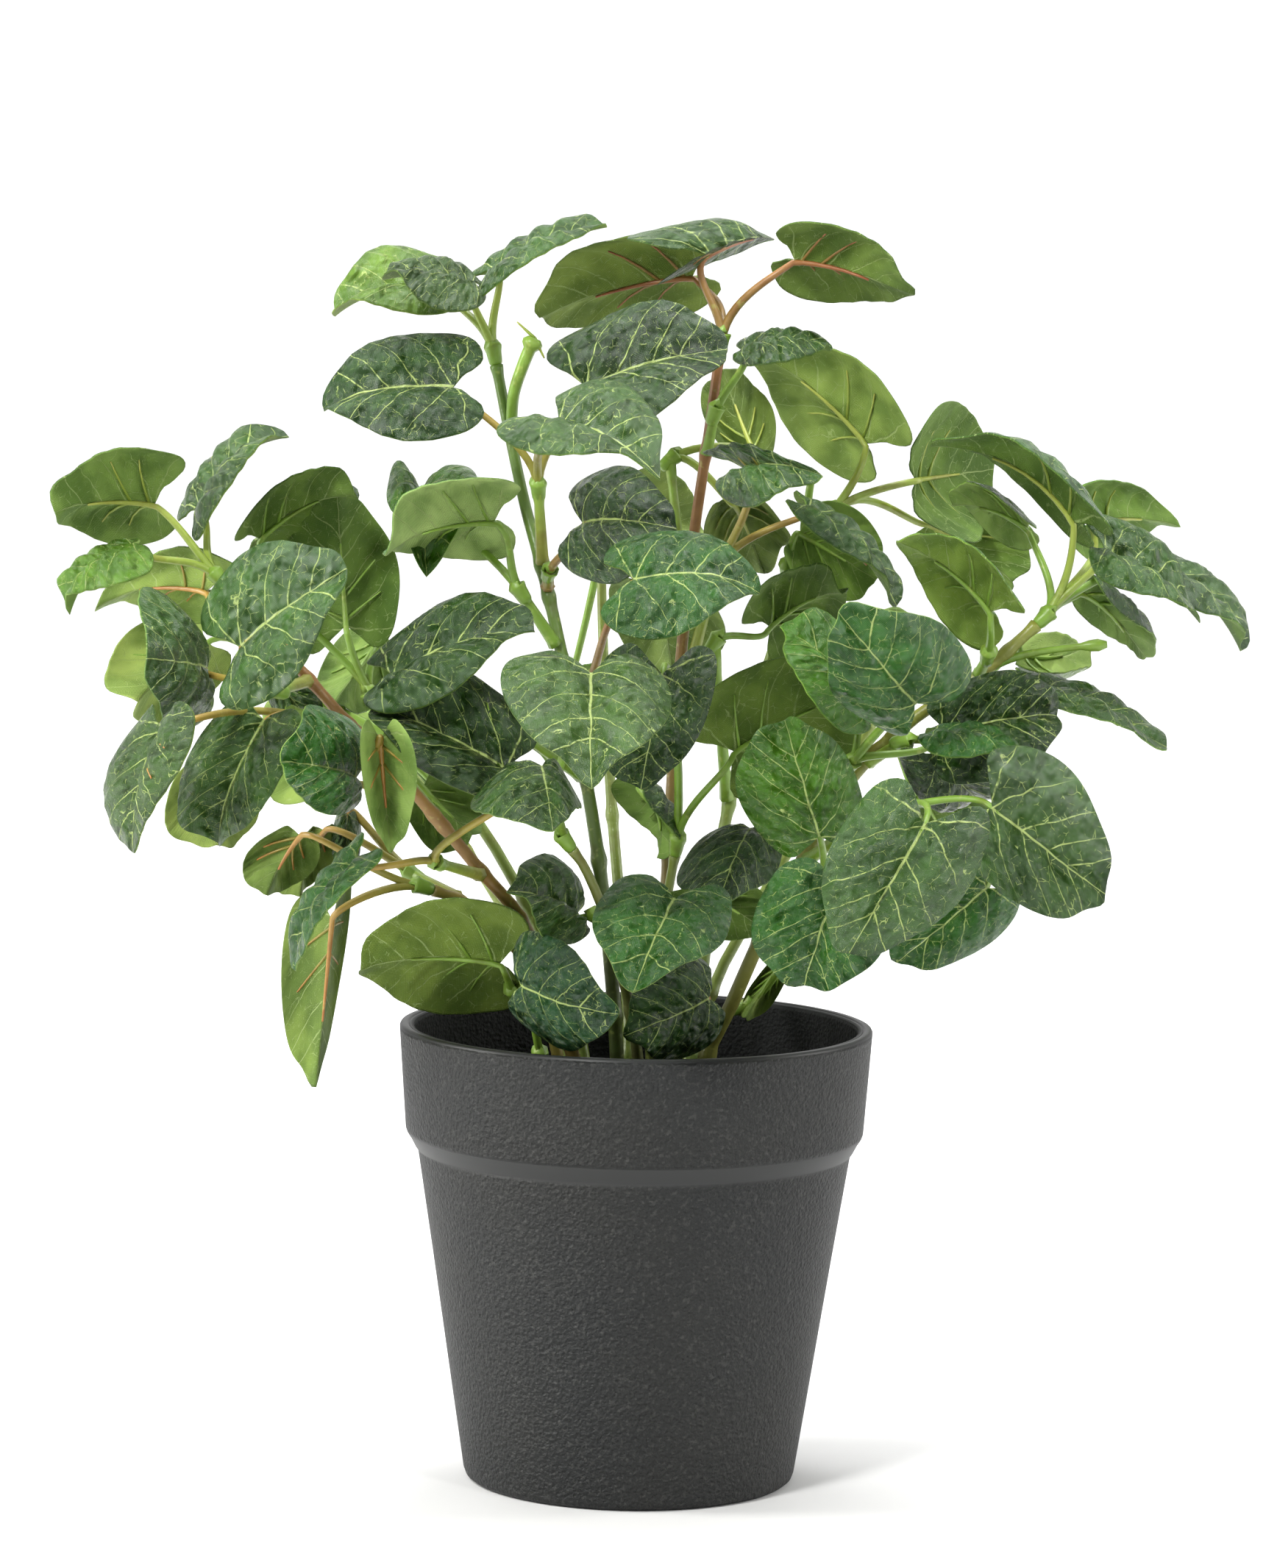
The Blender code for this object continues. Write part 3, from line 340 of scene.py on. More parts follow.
stemTones = {
    "stem_a": ((0.075, 0.100, 0.025), (0.110, 0.200, 0.030)),
    "stem_b": ((0.090, 0.120, 0.025), (0.260, 0.110, 0.035)),
    "stem_c": ((0.130, 0.130, 0.030), (0.220, 0.240, 0.040)),
    "stem_d": ((0.100, 0.150, 0.030), (0.190, 0.270, 0.040)),
    "stem_e": ((0.160, 0.130, 0.030), (0.300, 0.140, 0.045)),
    "stem_f": ((0.120, 0.170, 0.030), (0.200, 0.280, 0.045)),
    "stem_g": ((0.170, 0.160, 0.035), (0.260, 0.200, 0.045)),
    "stem_h": ((0.040, 0.050, 0.018), (0.130, 0.150, 0.030)),
    "stem_i": ((0.070, 0.090, 0.022), (0.150, 0.190, 0.035)),
}


class Wire:
    # a socket of a shader node, so that shader maths reads as plain expressions
    def __init__(self, finish, socket):
        self.finish = finish
        self.socket = socket

    def math(self, operation, first, second=0.0):
        return self.finish.node("ShaderNodeMath", {"operation": operation}, {0: first, 1: second})

    def __add__(self, other):
        return self.math("ADD", self, other)

    def __sub__(self, other):
        return self.math("SUBTRACT", self, other)

    def __rsub__(self, other):
        return self.math("SUBTRACT", other, self)

    def __mul__(self, other):
        return self.math("MULTIPLY", self, other)

    def __truediv__(self, other):
        return self.math("DIVIDE", self, other)

    def __pow__(self, other):
        return self.math("POWER", self, other)

    __radd__ = __add__
    __rmul__ = __mul__

    def size(self):
        return self.math("ABSOLUTE", self)

    def wave(self):
        return self.math("SINE", self)

    def most(self, other):
        return self.math("MAXIMUM", self, other)

    def fade(self, start, end):
        # 0 at start, 1 at end, smooth between
        return self.finish.node("ShaderNodeMapRange", {"interpolation_type": "SMOOTHSTEP"},
                                {"Value": self, "From Min": start, "From Max": end})


class Finish:
    # one material: its nodes and the shader that they feed
    def __init__(self, name, **constants):
        self.material = bpy.data.materials.new(name)
        self.material.use_nodes = True
        self.tree = self.material.node_tree
        self.shader = self.tree.nodes["Principled BSDF"]
        for key, value in constants.items():
            self.shader.inputs[key.replace("_", " ")].default_value = value

    def node(self, kind, settings, inputs, output=0):
        made = self.tree.nodes.new(kind)
        for key, value in settings.items():
            setattr(made, key, value)
        for key, value in inputs.items():
            self.join(value, made.inputs[key])
        return Wire(self, made.outputs[output])

    def join(self, value, socket):
        if isinstance(value, Wire):
            self.tree.links.new(value.socket, socket)
        else:
            socket.default_value = value

    def feed(self, name, value):
        self.join(value, self.shader.inputs[name])

    def mix(self, share, first, second, blend="MIX"):
        return self.node("ShaderNodeMix", {"data_type": "RGBA", "blend_type": blend},
                         {0: share, 6: first, 7: second}, 2)

    def noise(self, place, scale, detail=2.0, output=0):
        return self.node("ShaderNodeTexNoise", {}, {"Vector": place, "Scale": scale,
                                                   "Detail": detail}, output)

    def cells(self, place, scale, feature="F1"):
        return self.node("ShaderNodeTexVoronoi", {"feature": feature},
                         {"Vector": place, "Scale": scale})

    def bump(self, height, strength, distance):
        normal = self.node("ShaderNodeBump", {}, {"Height": height, "Strength": strength,
                                                  "Distance": distance})
        self.feed("Normal", normal)

    def attribute(self, name, output=0):
        return self.node("ShaderNodeAttribute", {"attribute_name": name}, {}, output)

    def objectPlace(self):
        return self.node("ShaderNodeTexCoord", {}, {}, 3)

    def split(self, vector):
        apart = self.tree.nodes.new("ShaderNodeSeparateXYZ")
        self.join(vector, apart.inputs[0])
        return [Wire(self, out) for out in apart.outputs]

    def vector(self, x, y, z=0.0):
        return self.node("ShaderNodeCombineXYZ", {}, {0: x, 1: y, 2: z})


leafPrint = {
    "threadPitch": 0.42,        # mm from thread to thread
    "bias": (0.80, 0.60),       # the way the threads run
    "wander": 3.2,              # how far a vein strays, mm
    "midrib": (0.36, 0.26, 0.09),   # width at the notch, loss toward the tip, least width
    "sideVein": (0.24, 0.008),  # width, loss for each mm outward
    # each pair of side veins: start along the midrib, rise and bend toward the tip
    "sideVeins": ((-0.5, -0.42, 0.012), (0.5, 0.30, 0.020), (8.0, 0.62, 0.014),
                  (15.5, 0.75, 0.010), (22.0, 0.85, 0.0)),
    "veinColour": (0.46, 0.56, 0.18, 1),
    "veinColourBelow": (0.48, 0.58, 0.24, 1),
    "shade": (0.30, 0.42, 0.30, 1),
    "shadeBelow": (0.42, 0.50, 0.38, 1),
    "dust": (0.10, 0.20, 0.045, 1),
    "thread": (0.55, 0.75, 0.55, 1),
    "threadBelow": (0.50, 0.60, 0.42, 1),
}


def leafFinish(name, upper):
    # woven cloth printed with veins; the leaf's own map gives its length and width in mm
    finish = Finish(name, Specular_IOR_Level=0.5 if upper else 0.25)
    x, y, shift = finish.split(finish.attribute("leafPlace", 1))
    u = y / leafForm["length"]
    v = x.size() / leafForm["halfWidth"]
    own = finish.vector(x + shift * 90.0, y, shift * 40.0)
    wander = (finish.noise(own, 0.16, 1.0) - 0.5) * leafPrint["wander"]
    # midrib, then pairs of side veins that leave it and bend toward the margin
    across = x.size()
    widest, loss, least = leafPrint["midrib"]
    width = (widest - u * loss).most(least)
    worn = finish.noise(own, 0.7, 2.0).fade(0.36, 0.50)
    veins = 1 - ((x + wander * 0.35).size() / width).fade(0.6, 1.5)
    sideWidth, sideLoss = leafPrint["sideVein"]
    for start, rise, curve in leafPrint["sideVeins"]:
        line = y - start - across * rise - across * across * curve + wander * 0.95
        thin = sideWidth - across * sideLoss
        side = (1 - (line.size() / thin).fade(0.5, 1.6)) * (1 - v.fade(0.70, 0.95))
        veins = veins.most(side * (worn * 0.75 + 0.25))
    netPlace = finish.node("ShaderNodeVectorMath", {"operation": "ADD"},
                           {0: own, 1: finish.noise(own, 0.45, 2.0, 1)})
    net = 1 - finish.cells(netPlace, 0.34, "DISTANCE_TO_EDGE").fade(0.006, 0.034)
    broken = finish.noise(own, 0.55, 3.0).fade(0.47, 0.60)
    speck = finish.noise(own, 1.9, 2.0).fade(0.60, 0.72) * finish.noise(own, 0.22).fade(0.45, 0.65)
    fine = veins.most(net * broken * 0.85).most(speck * 0.55)
    # two sets of threads, laid on the bias
    threads = 2 * math.pi / leafPrint["threadPitch"]
    over, along = leafPrint["bias"]
    warp = ((x * over + y * along) * threads).wave()
    weft = ((x * along - y * over) * threads).wave()
    weave = warp * weft * 0.5 + 0.5
    patch = finish.noise(own, 0.10, 3.0)
    tone = finish.attribute("leafTone")
    if upper:
        shade = finish.mix(patch.fade(0.34, 0.66) * 0.70, tone, leafPrint["shade"], "MULTIPLY")
        dusty = finish.mix(finish.noise(own, 0.8, 4.0).fade(0.5, 0.75) * 0.30, shade,
                           leafPrint["dust"])
        colour = finish.mix(fine * 0.86, dusty, leafPrint["veinColour"])
        colour = finish.mix(weave * 0.22, colour, leafPrint["thread"], "MULTIPLY")
        finish.feed("Roughness", finish.noise(own, 0.5, 2.0) * 0.14 + 0.19 + weave * 0.05)
        pillows = finish.cells(own, 0.20, "SMOOTH_F1") * 1.4 + finish.noise(own, 0.28, 1.0) * 1.6
        finish.bump(weave * 0.05 + pillows - fine * 0.10, 1.0, 0.0030)
    else:
        shade = finish.mix(patch.fade(0.34, 0.66) * 0.85, tone, leafPrint["shadeBelow"],
                           "MULTIPLY")
        colour = finish.mix(fine * 0.62, shade, leafPrint["veinColourBelow"])
        colour = finish.mix(weave * 0.75, colour, leafPrint["threadBelow"], "MULTIPLY")
        finish.feed("Roughness", 0.62 - weave * 0.10)
        height = weave * 0.10 - finish.cells(own, 0.17, "SMOOTH_F1") * 1.2 + fine * 0.10
        finish.bump(height, 0.9, 0.0020)
    finish.feed("Base Color", colour)
    return finish.material


stalkGrain = {
    "mottle": 160.0, "fleck": 420.0, "pits": 700.0, "waves": 190.0,  # cells for each metre
    "relief": 0.00035,          # depth of the grain, m
    "mottleColour": (0.60, 0.42, 0.25, 1),
    "fleckColour": (0.42, 0.46, 0.13, 1),
}


def stalkFinish():
    # moulded plastic, streaked and mottled where two colours ran together
    finish = Finish("mouldedStalk", Specular_IOR_Level=0.5)
    place = finish.objectPlace()
    tone = finish.attribute("stalkTone")
    mottle = finish.noise(place, stalkGrain["mottle"], 3.0)
    colour = finish.mix(mottle.fade(0.48, 0.72) * 0.55, tone, stalkGrain["mottleColour"],
                        "MULTIPLY")
    fleck = finish.noise(place, stalkGrain["fleck"], 2.0).fade(0.60, 0.78)
    colour = finish.mix(fleck * 0.45, colour, stalkGrain["fleckColour"])
    finish.feed("Base Color", colour)
    finish.feed("Roughness", mottle * 0.20 + 0.30)
    grain = finish.noise(place, stalkGrain["pits"], 3.0)
    grain = grain + finish.noise(place, stalkGrain["waves"]) * 1.5
    finish.bump(grain, 0.45, stalkGrain["relief"])
    return finish.material


potGrain = {
    # where each look fades in, from the first height or radius to the second, mm
    "stepFrom": (83.8, 85.0), "stepTo": (88.8, 90.0), "lip": (115.0, 116.0),
    "innerWall": (56.6, 57.6), "innerFrom": (90.0, 91.5),
    "beads": 1050.0, "scratches": 1800.0, "clouds": 22.0, "dust": 900.0,  # cells for each metre
    "relief": 0.00065,          # depth of the grain, m
    "dark": (0.011, 0.012, 0.012, 1),
    "warm": (0.019, 0.019, 0.017, 1),
    # colour of the painted highlight band on the step
    "paintedStepHighlight": (0.042, 0.043, 0.043, 1),
    "dustColour": (0.070, 0.070, 0.065, 1),
    "shadow": (0.004, 0.005, 0.005, 1),
}


def potFinish():
    # dark plastic with a leathery grain, smooth on the step under the collar, where a lighter band
    # is painted in as a highlight
    finish = Finish("charcoalPlastic", Specular_IOR_Level=0.30)
    place = finish.objectPlace()
    x, y, z = finish.split(place)
    height = z / mm
    radius = ((x * x + y * y) ** 0.5) / mm
    step = height.fade(*potGrain["stepFrom"]) * (1 - height.fade(*potGrain["stepTo"]))
    lip = height.fade(*potGrain["lip"])
    plain = (1 - step) * (1 - lip)
    within = (1 - radius.fade(*potGrain["innerWall"])) * height.fade(*potGrain["innerFrom"])
    grain = finish.cells(place, potGrain["beads"], "SMOOTH_F1")
    grain = grain + finish.noise(place, potGrain["scratches"], 2.0) * 0.8
    cloud = finish.noise(place, potGrain["clouds"], 4.0)
    colour = finish.mix(cloud.fade(0.35, 0.70) * 0.5, potGrain["dark"], potGrain["warm"])
    # painted highlight: the step is coloured lighter to stand for the band of light it catches
    colour = finish.mix(step * 0.55, colour, potGrain["paintedStepHighlight"])
    dust = finish.noise(place, potGrain["dust"], 2.0).fade(0.52, 0.72) * 0.34 * plain
    colour = finish.mix(dust, colour, potGrain["dustColour"])
    finish.feed("Base Color", finish.mix(within * 0.8, colour, potGrain["shadow"]))
    finish.feed("Roughness", cloud * 0.10 + 0.50 - step * 0.06 - lip * 0.12 + within * 0.3)
    finish.bump(grain * plain, 0.9, potGrain["relief"])
    return finish.material


# the foam's pore hollows carry painted shade, darker than the foam between them
foamGrain = {"pores": 700.0, "lumps": 120.0, "relief": 0.0012,
             "poreShade": (0.004, 0.004, 0.004, 1), "wall": (0.016, 0.017, 0.016, 1)}


def plugFinish():
    finish = Finish("darkFoam", Roughness=0.95, Specular_IOR_Level=0.15)
    place = finish.objectPlace()
    pores = finish.cells(place, foamGrain["pores"])
    # painted shade: the pore hollows are coloured darker than the pore walls
    finish.feed("Base Color", finish.mix(pores, foamGrain["poreShade"], foamGrain["wall"]))
    lumps = finish.noise(place, foamGrain["lumps"], 3.0)
    finish.bump(pores + lumps * 2.0, 0.9, foamGrain["relief"])
    return finish.material


leafUpper = leafFinish("wovenLeafUpper", True)
leafLower = leafFinish("wovenLeafLower", False)
stalkPlastic = stalkFinish()
potPlastic = potFinish()
plugFoam = plugFinish()
print("finishes made")


def drop():
    bpy.ops.object.select_all(action="DESELECT")


def pick(objects):
    drop()
    for thing in objects:
        thing.select_set(True)
    bpy.context.view_layer.objects.active = objects[0]


def applyAll(thing):
    pick([thing])
    for modifier in list(thing.modifiers):
        bpy.ops.object.modifier_apply(modifier=modifier.name)


def placed(point):
    across, depth, height = point
    reach = (sight["distance"] + depth) / sight["distance"]
    rise = sight["height"] - (sight["height"] - height) * reach
    return Vector((across * reach, depth, rise)) * mm


def smoothRoute(points, samples):
    # a curve through all the points, with this many samples in each span
    ends = [points[0] * 2 - points[1], *points, points[-1] * 2 - points[-2]]
    route = []
    for a, b, c, d in zip(ends, ends[1:], ends[2:], ends[3:]):
        for step in range(samples):
            t = step / samples
            route.append(0.5 * (2 * b + (c - a) * t + (2 * a - 5 * b + 4 * c - d) * t ** 2
                                + (3 * b - 3 * c + d - a) * t ** 3))
    return [*route, points[-1]]


def archRoute(a, b, c, d, spans):
    route = []
    for step in range(spans + 1):
        t = step / spans
        s = 1 - t
        route.append(a * s ** 3 + b * 3 * s * s * t + c * 3 * s * t * t + d * t ** 3)
    return route


def taper(first, last, count):
    return [first + (last - first) * i / (count - 1) for i in range(count)]


def paint(thing, name, colours):
    # one colour for each point of the mesh
    layer = thing.data.attributes.new(name, "FLOAT_COLOR", "POINT")
    layer.data.foreach_set("color", np.hstack([colours, np.ones((len(colours), 1))]).ravel())


def points(thing):
    flat = np.zeros(len(thing.data.vertices) * 3)
    thing.data.vertices.foreach_get("co", flat)
    return flat.reshape(-1, 3)


def moulded(name, route, radii, tones, sides=2):
    # a round bar along a route, coloured from the first tone to the second along it
    bpy.ops.curve.primitive_nurbs_path_add()
    bar = bpy.context.object
    bar.name = name
    curve = bar.data
    curve.splines.clear()
    curve.dimensions = "3D"
    curve.bevel_depth = 1.0
    curve.bevel_resolution = sides
    curve.use_fill_caps = True
    spline = curve.splines.new("POLY")
    spline.points.add(len(route) - 1)
    for spot, where, radius in zip(spline.points, route, radii):
        spot.co = (*where, 1)
        spot.radius = radius * mm
    pick([bar])
    bpy.ops.object.convert(target="MESH")
    bar = bpy.context.object
    bpy.ops.object.mode_set(mode="EDIT")
    bpy.ops.mesh.select_all(action="SELECT")
    bpy.ops.mesh.remove_doubles(threshold=0.000005)
    bpy.ops.mesh.normals_make_consistent(inside=False)
    bpy.ops.object.mode_set(mode="OBJECT")
    bpy.ops.object.shade_smooth()
    line = np.array([list(p) for p in route])
    nearest = np.linalg.norm(points(bar)[:, None] - line[None], axis=2).argmin(1)
    share = (nearest / (len(route) - 1))[:, None]
    first, second = np.array(tones[0]), np.array(tones[1])
    paint(bar, "stalkTone", first + (second - first) * share ** 1.3)
    return bar


def finished(pieces, name, materials, nodes):
    # joins the pieces into one object that stands for its CAD nodes
    for thing in pieces:
        if not thing.data.materials:
            for material in materials:
                thing.data.materials.append(material)
    pick(pieces)
    if len(pieces) > 1:
        bpy.ops.object.join()
    whole = bpy.context.view_layer.objects.active
    bpy.ops.object.transform_apply(location=True, rotation=True, scale=True)
    whole.name = name
    whole.data.name = name
    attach(whole, "root")
    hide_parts(*nodes)
    return whole


potForm = {
    "steps": 128,
    # the wall, from the foot up the outside, over the lip and down the inside: radius, height
    "wall": ((40.6, 0.25), (41.7, 1.1), (42.25, 2.6), (46.5, 30.0), (50.8, 58.0), (54.85, 83.6),
             (55.15, 84.7), (55.8, 85.5), (57.0, 87.8), (57.8, 89.0), (58.15, 90.0),
             (59.1, 103.0), (59.95, 115.0), (60.0, 115.9), (59.75, 116.4), (59.3, 116.6),
             (58.3, 116.6), (58.05, 116.5), (57.85, 116.2), (57.6, 116.15), (57.4, 116.35),
             (56.8, 116.35), (56.45, 116.1), (56.3, 115.0), (56.1, 104.0), (55.8, 90.5),
             (55.3, 88.6), (52.9, 85.2), (52.55, 84.0), (48.5, 58.0), (44.2, 30.0),
             (40.5, 5.8), (39.9, 4.5), (38.8, 4.0), (20.0, 4.0)),
    "foot": 39.6,
}


def turnedShell(name, foot, low, rings, steps):
    # a disc raised ring by ring, as thrown on a wheel
    bpy.ops.mesh.primitive_circle_add(vertices=steps, radius=foot * mm, fill_type="NGON",
                                      location=(0, 0, low * mm))
    shell = bpy.context.object
    bpy.ops.object.transform_apply(location=True, rotation=True, scale=True)
    bpy.ops.object.mode_set(mode="EDIT")
    bpy.ops.mesh.select_all(action="SELECT")
    for radius, height in rings:
        bpy.ops.mesh.extrude_region_move(
            TRANSFORM_OT_translate={"value": (0, 0, (height - low) * mm)})
        bpy.ops.transform.resize(value=(radius / foot, radius / foot, 1),
                                 center_override=(0, 0, 0))
        foot, low = radius, height
    bpy.ops.mesh.select_all(action="SELECT")
    bpy.ops.mesh.normals_make_consistent(inside=False)
    bpy.ops.object.mode_set(mode="OBJECT")
    bpy.ops.object.shade_smooth_by_angle(angle=math.radians(42))
    shell.name = name
    return shell


pot = turnedShell("potShell", potForm["foot"], 0.0, potForm["wall"], potForm["steps"])
finished([pot], "potShell", [potPlastic], ["pot"])

plugForm = {"steps": 72, "foot": 38.0,
            "wall": ((40.0, 6.5), (44.3, 32.0), (49.0, 63.2), (48.0, 65.0), (45.0, 65.5),
                     (36.0, 65.1), (27.0, 65.5), (18.0, 65.2), (9.0, 65.5), (2.0, 65.3))}
plug = turnedShell("foamPlug", plugForm["foot"], 4.6, plugForm["wall"], plugForm["steps"])
finished([plug], "foamPlug", [plugFoam], ["plug"])
print("pot and plug made")


def stemLine(name):
    footRadius, tipRadius, route = stems[name]
    curve = smoothRoute([placed(point) for point in route], 3)
    return curve, taper(footRadius, tipRadius, len(curve) + 1)[1:]


stemForm = {
    "foot": 48.2,               # height of the foot in its socket, mm
    "step": 1.1,                # length of one ring of the bar
    "waist": 0.90,              # thickness between knuckles, as a share
    "knuckle": 0.26,            # how much a knuckle adds
    "knuckleReach": 1.9,
    "spareKnuckles": (0.30, 0.47, 0.62, 0.78),  # places along the stem with no sprig
}
# bare twigs whose leaf is missing, and buds
stemExtras = {
    "stem_a": [{"route": ((-34, -1, 268), (-33.5, -4, 276), (-31, -6, 284), (-28.5, -6, 290)),
                "radii": (1.4, 1.7), "end": (1.5, 1.6, 1.0), "tone": "green"},
               {"route": ((-28.5, -6, 290), (-33, -7, 294)),
                "radii": (0.5, 0.3), "end": (1, 1, 0.6), "tone": "yellow"},
               {"route": ((-28.5, -6, 290), (-26, -7, 285)),
                "radii": (0.5, 0.3), "end": (1, 1, 0.6), "tone": "yellow"}],
    "stem_d": [{"route": ((40, 31, 238), (41, 28, 251), (42, 27, 258)),
                "radii": (1.2, 1.0), "end": (1.5, 1.7, 1.0), "tone": "green"}],
    "stem_c": [{"route": ((84, -26, 207), (93, -24, 211.5), (104, -22, 214), (117, -22, 215.5)),
                "radii": (1.2, 0.9), "end": (1.7, 1.9, 1.0), "tone": "green"}],
}


def addStem(name):
    # straight in its socket, then curving up, with a knuckle wherever a sprig springs
    footRadius, tipRadius, route = stems[name]
    corners = [placed(point) for point in route]
    foot = Vector((corners[0].x, corners[0].y, stemForm["foot"] * mm))
    line = [foot, *smoothRoute(corners, 3)]
    fine = []
    for a, b in zip(line, line[1:]):
        count = max(1, round((b - a).length / (stemForm["step"] * mm)))
        fine += [a.lerp(b, i / count) for i in range(count)]
    fine.append(line[-1])
    springs = [placed(row[0]) for short, row in sprigs.items() if short[0] == name[-1]]
    length = len(fine)
    springs += [fine[int(length * share)] for share in stemForm["spareKnuckles"]]
    radii = taper(footRadius, tipRadius, length)
    for i, where in enumerate(fine):
        near = min((where - spring).length for spring in springs) / mm
        swell = math.exp(-(near / stemForm["knuckleReach"]) ** 2)
        radii[i] *= stemForm["waist"] + stemForm["knuckle"] * swell
    parts = [moulded(name, fine, radii, stemTones.get(name, backStemTone), 3)]
    for extra in stemExtras.get(name, []):
        route = smoothRoute([placed(point) for point in extra["route"]], 6)
        radii = taper(extra["radii"][0], extra["radii"][1], len(route))
        radii[-3:] = [radii[-1] * k for k in extra["end"]]
        parts.append(moulded("twig", route, radii, stalkTones[extra["tone"]], 1))
    finished(parts, name.replace("_", "") + "Bar", [stalkPlastic], [name])


for stemName in stems:
    addStem(stemName)
print("stems made:", len(stems))


def drawnDepth(origin, across, height, trueLength, way):
    # a drawn point's depth, from how much shorter it looks than it is
    apparent = math.hypot(across - origin[0], height - origin[2])
    depth = math.sqrt(max(0.0, trueLength ** 2 - apparent ** 2))
    return (across, origin[1] + toward[way] * depth, height)


def leafFrame(leaf):
    # notch, the way to the tip, the two half-width vectors, and the upper side's direction
    notch, tip, left, right, ways, side, size = leaf
    tip = drawnDepth(notch, *tip, leafForm["length"] * size, ways[0])
    root = [a + (b - a) * leafForm["shoulderAlong"] for a, b in zip(notch, tip)]
    base = placed(notch)
    along = placed(tip) - base
    middle = base + along * leafForm["shoulderAlong"]
    halves = [placed(drawnDepth(root, *shoulder, leafForm["halfWidth"] * size, way)) - middle
              for shoulder, way in ((left, ways[1]), (right, ways[2]))]
    normal = along.cross(halves[0] - halves[1]).normalized() * side
    return base, along, halves, normal


def ribPoint(form, u, v, bow, lift=0.0):
    base, along, halves, normal = form
    half = halves[0] if v > 0 else halves[1]
    swell = leafForm["swell"] * 0.9 * math.sin(min(1.0, abs(v)) * math.pi)
    rise = 4 * bow * u * (1 - u) - leafForm["droop"] * v * v + swell + lift
    return base + along * u + half * abs(v) + normal * (rise * mm)


def edgeAt(count):
    # the heart's edge at even steps of the template's angle: (along, across) from the notch
    right = [(u, -v) for u, v in halfOutline]
    loop = [(0.0, 0.0), *halfOutline, (1.0, 0.0), *reversed(right)]
    corners = [Vector(p) for p in loop]
    ring = smoothRoute([*corners, corners[0]], 9)[:-1]
    ring = np.array([list(p) for p in ring])
    lengths = np.linalg.norm((np.roll(ring, -1, 0) - ring) * (1, 0.56), axis=1)
    walked = np.concatenate([[0], np.cumsum(lengths)])
    steps = np.linspace(0, walked[-1], count, endpoint=False)
    closed = np.vstack([ring, ring[:1]])
    return np.stack([np.interp(steps, walked, closed[:, k]) for k in (0, 1)], 1)


def leafTemplate():
    # a flat heart-shaped blade with its middle at the disc's centre, cut from one cloth
    count = leafForm["points"]
    bpy.ops.mesh.primitive_circle_add(vertices=count, radius=1.0, fill_type="NOTHING")
    blade = bpy.context.object
    bpy.ops.object.mode_set(mode="EDIT")
    bpy.ops.mesh.select_all(action="SELECT")
    rings = leafForm["rings"]
    for outer, inner in zip(reversed(rings), list(reversed(rings))[1:]):
        bpy.ops.mesh.extrude_edges_move(TRANSFORM_OT_translate={"value": (0, 0, 0)})
        bpy.ops.transform.resize(value=(inner / outer, inner / outer, 1),
                                 center_override=(0, 0, 0))
    bpy.ops.mesh.edge_face_add()
    bpy.ops.mesh.poke()
    bpy.ops.object.mode_set(mode="OBJECT")
    disc = points(blade)
    radius = np.linalg.norm(disc[:, :2], axis=1)
    angle = np.mod(np.arctan2(disc[:, 1], disc[:, 0]), 2 * math.pi)
    index = np.round(angle / (2 * math.pi) * count).astype(int) % count
    edge = edgeAt(count)[index]
    centre = np.array([leafForm["middle"], 0.0])
    spot = centre + (edge - centre) * radius[:, None]
    flat = np.zeros_like(disc)
    flat[:, 0] = spot[:, 1] * leafForm["halfWidth"] * mm
    flat[:, 1] = spot[:, 0] * leafForm["length"] * mm
    blade.data.vertices.foreach_set("co", flat.ravel())
    pick([blade])
    bpy.ops.object.mode_set(mode="EDIT")
    bpy.ops.mesh.select_all(action="SELECT")
    bpy.ops.mesh.normals_make_consistent(inside=False)
    bpy.ops.object.mode_set(mode="OBJECT")
    if blade.data.polygons[0].normal.z < 0:
        blade.data.flip_normals()
    wall = blade.modifiers.new("cloth", "SOLIDIFY")
    wall.thickness = leafForm["thickness"] * mm
    wall.offset = -1.0
    wall.material_offset = 1
    wall.material_offset_rim = 1
    blade.data.materials.append(leafUpper)
    blade.data.materials.append(leafLower)
    applyAll(blade)
    bpy.ops.object.shade_smooth()
    return blade


template = leafTemplate()
templatePoints = points(template) / mm
print("leaf template:", len(templatePoints), "points")


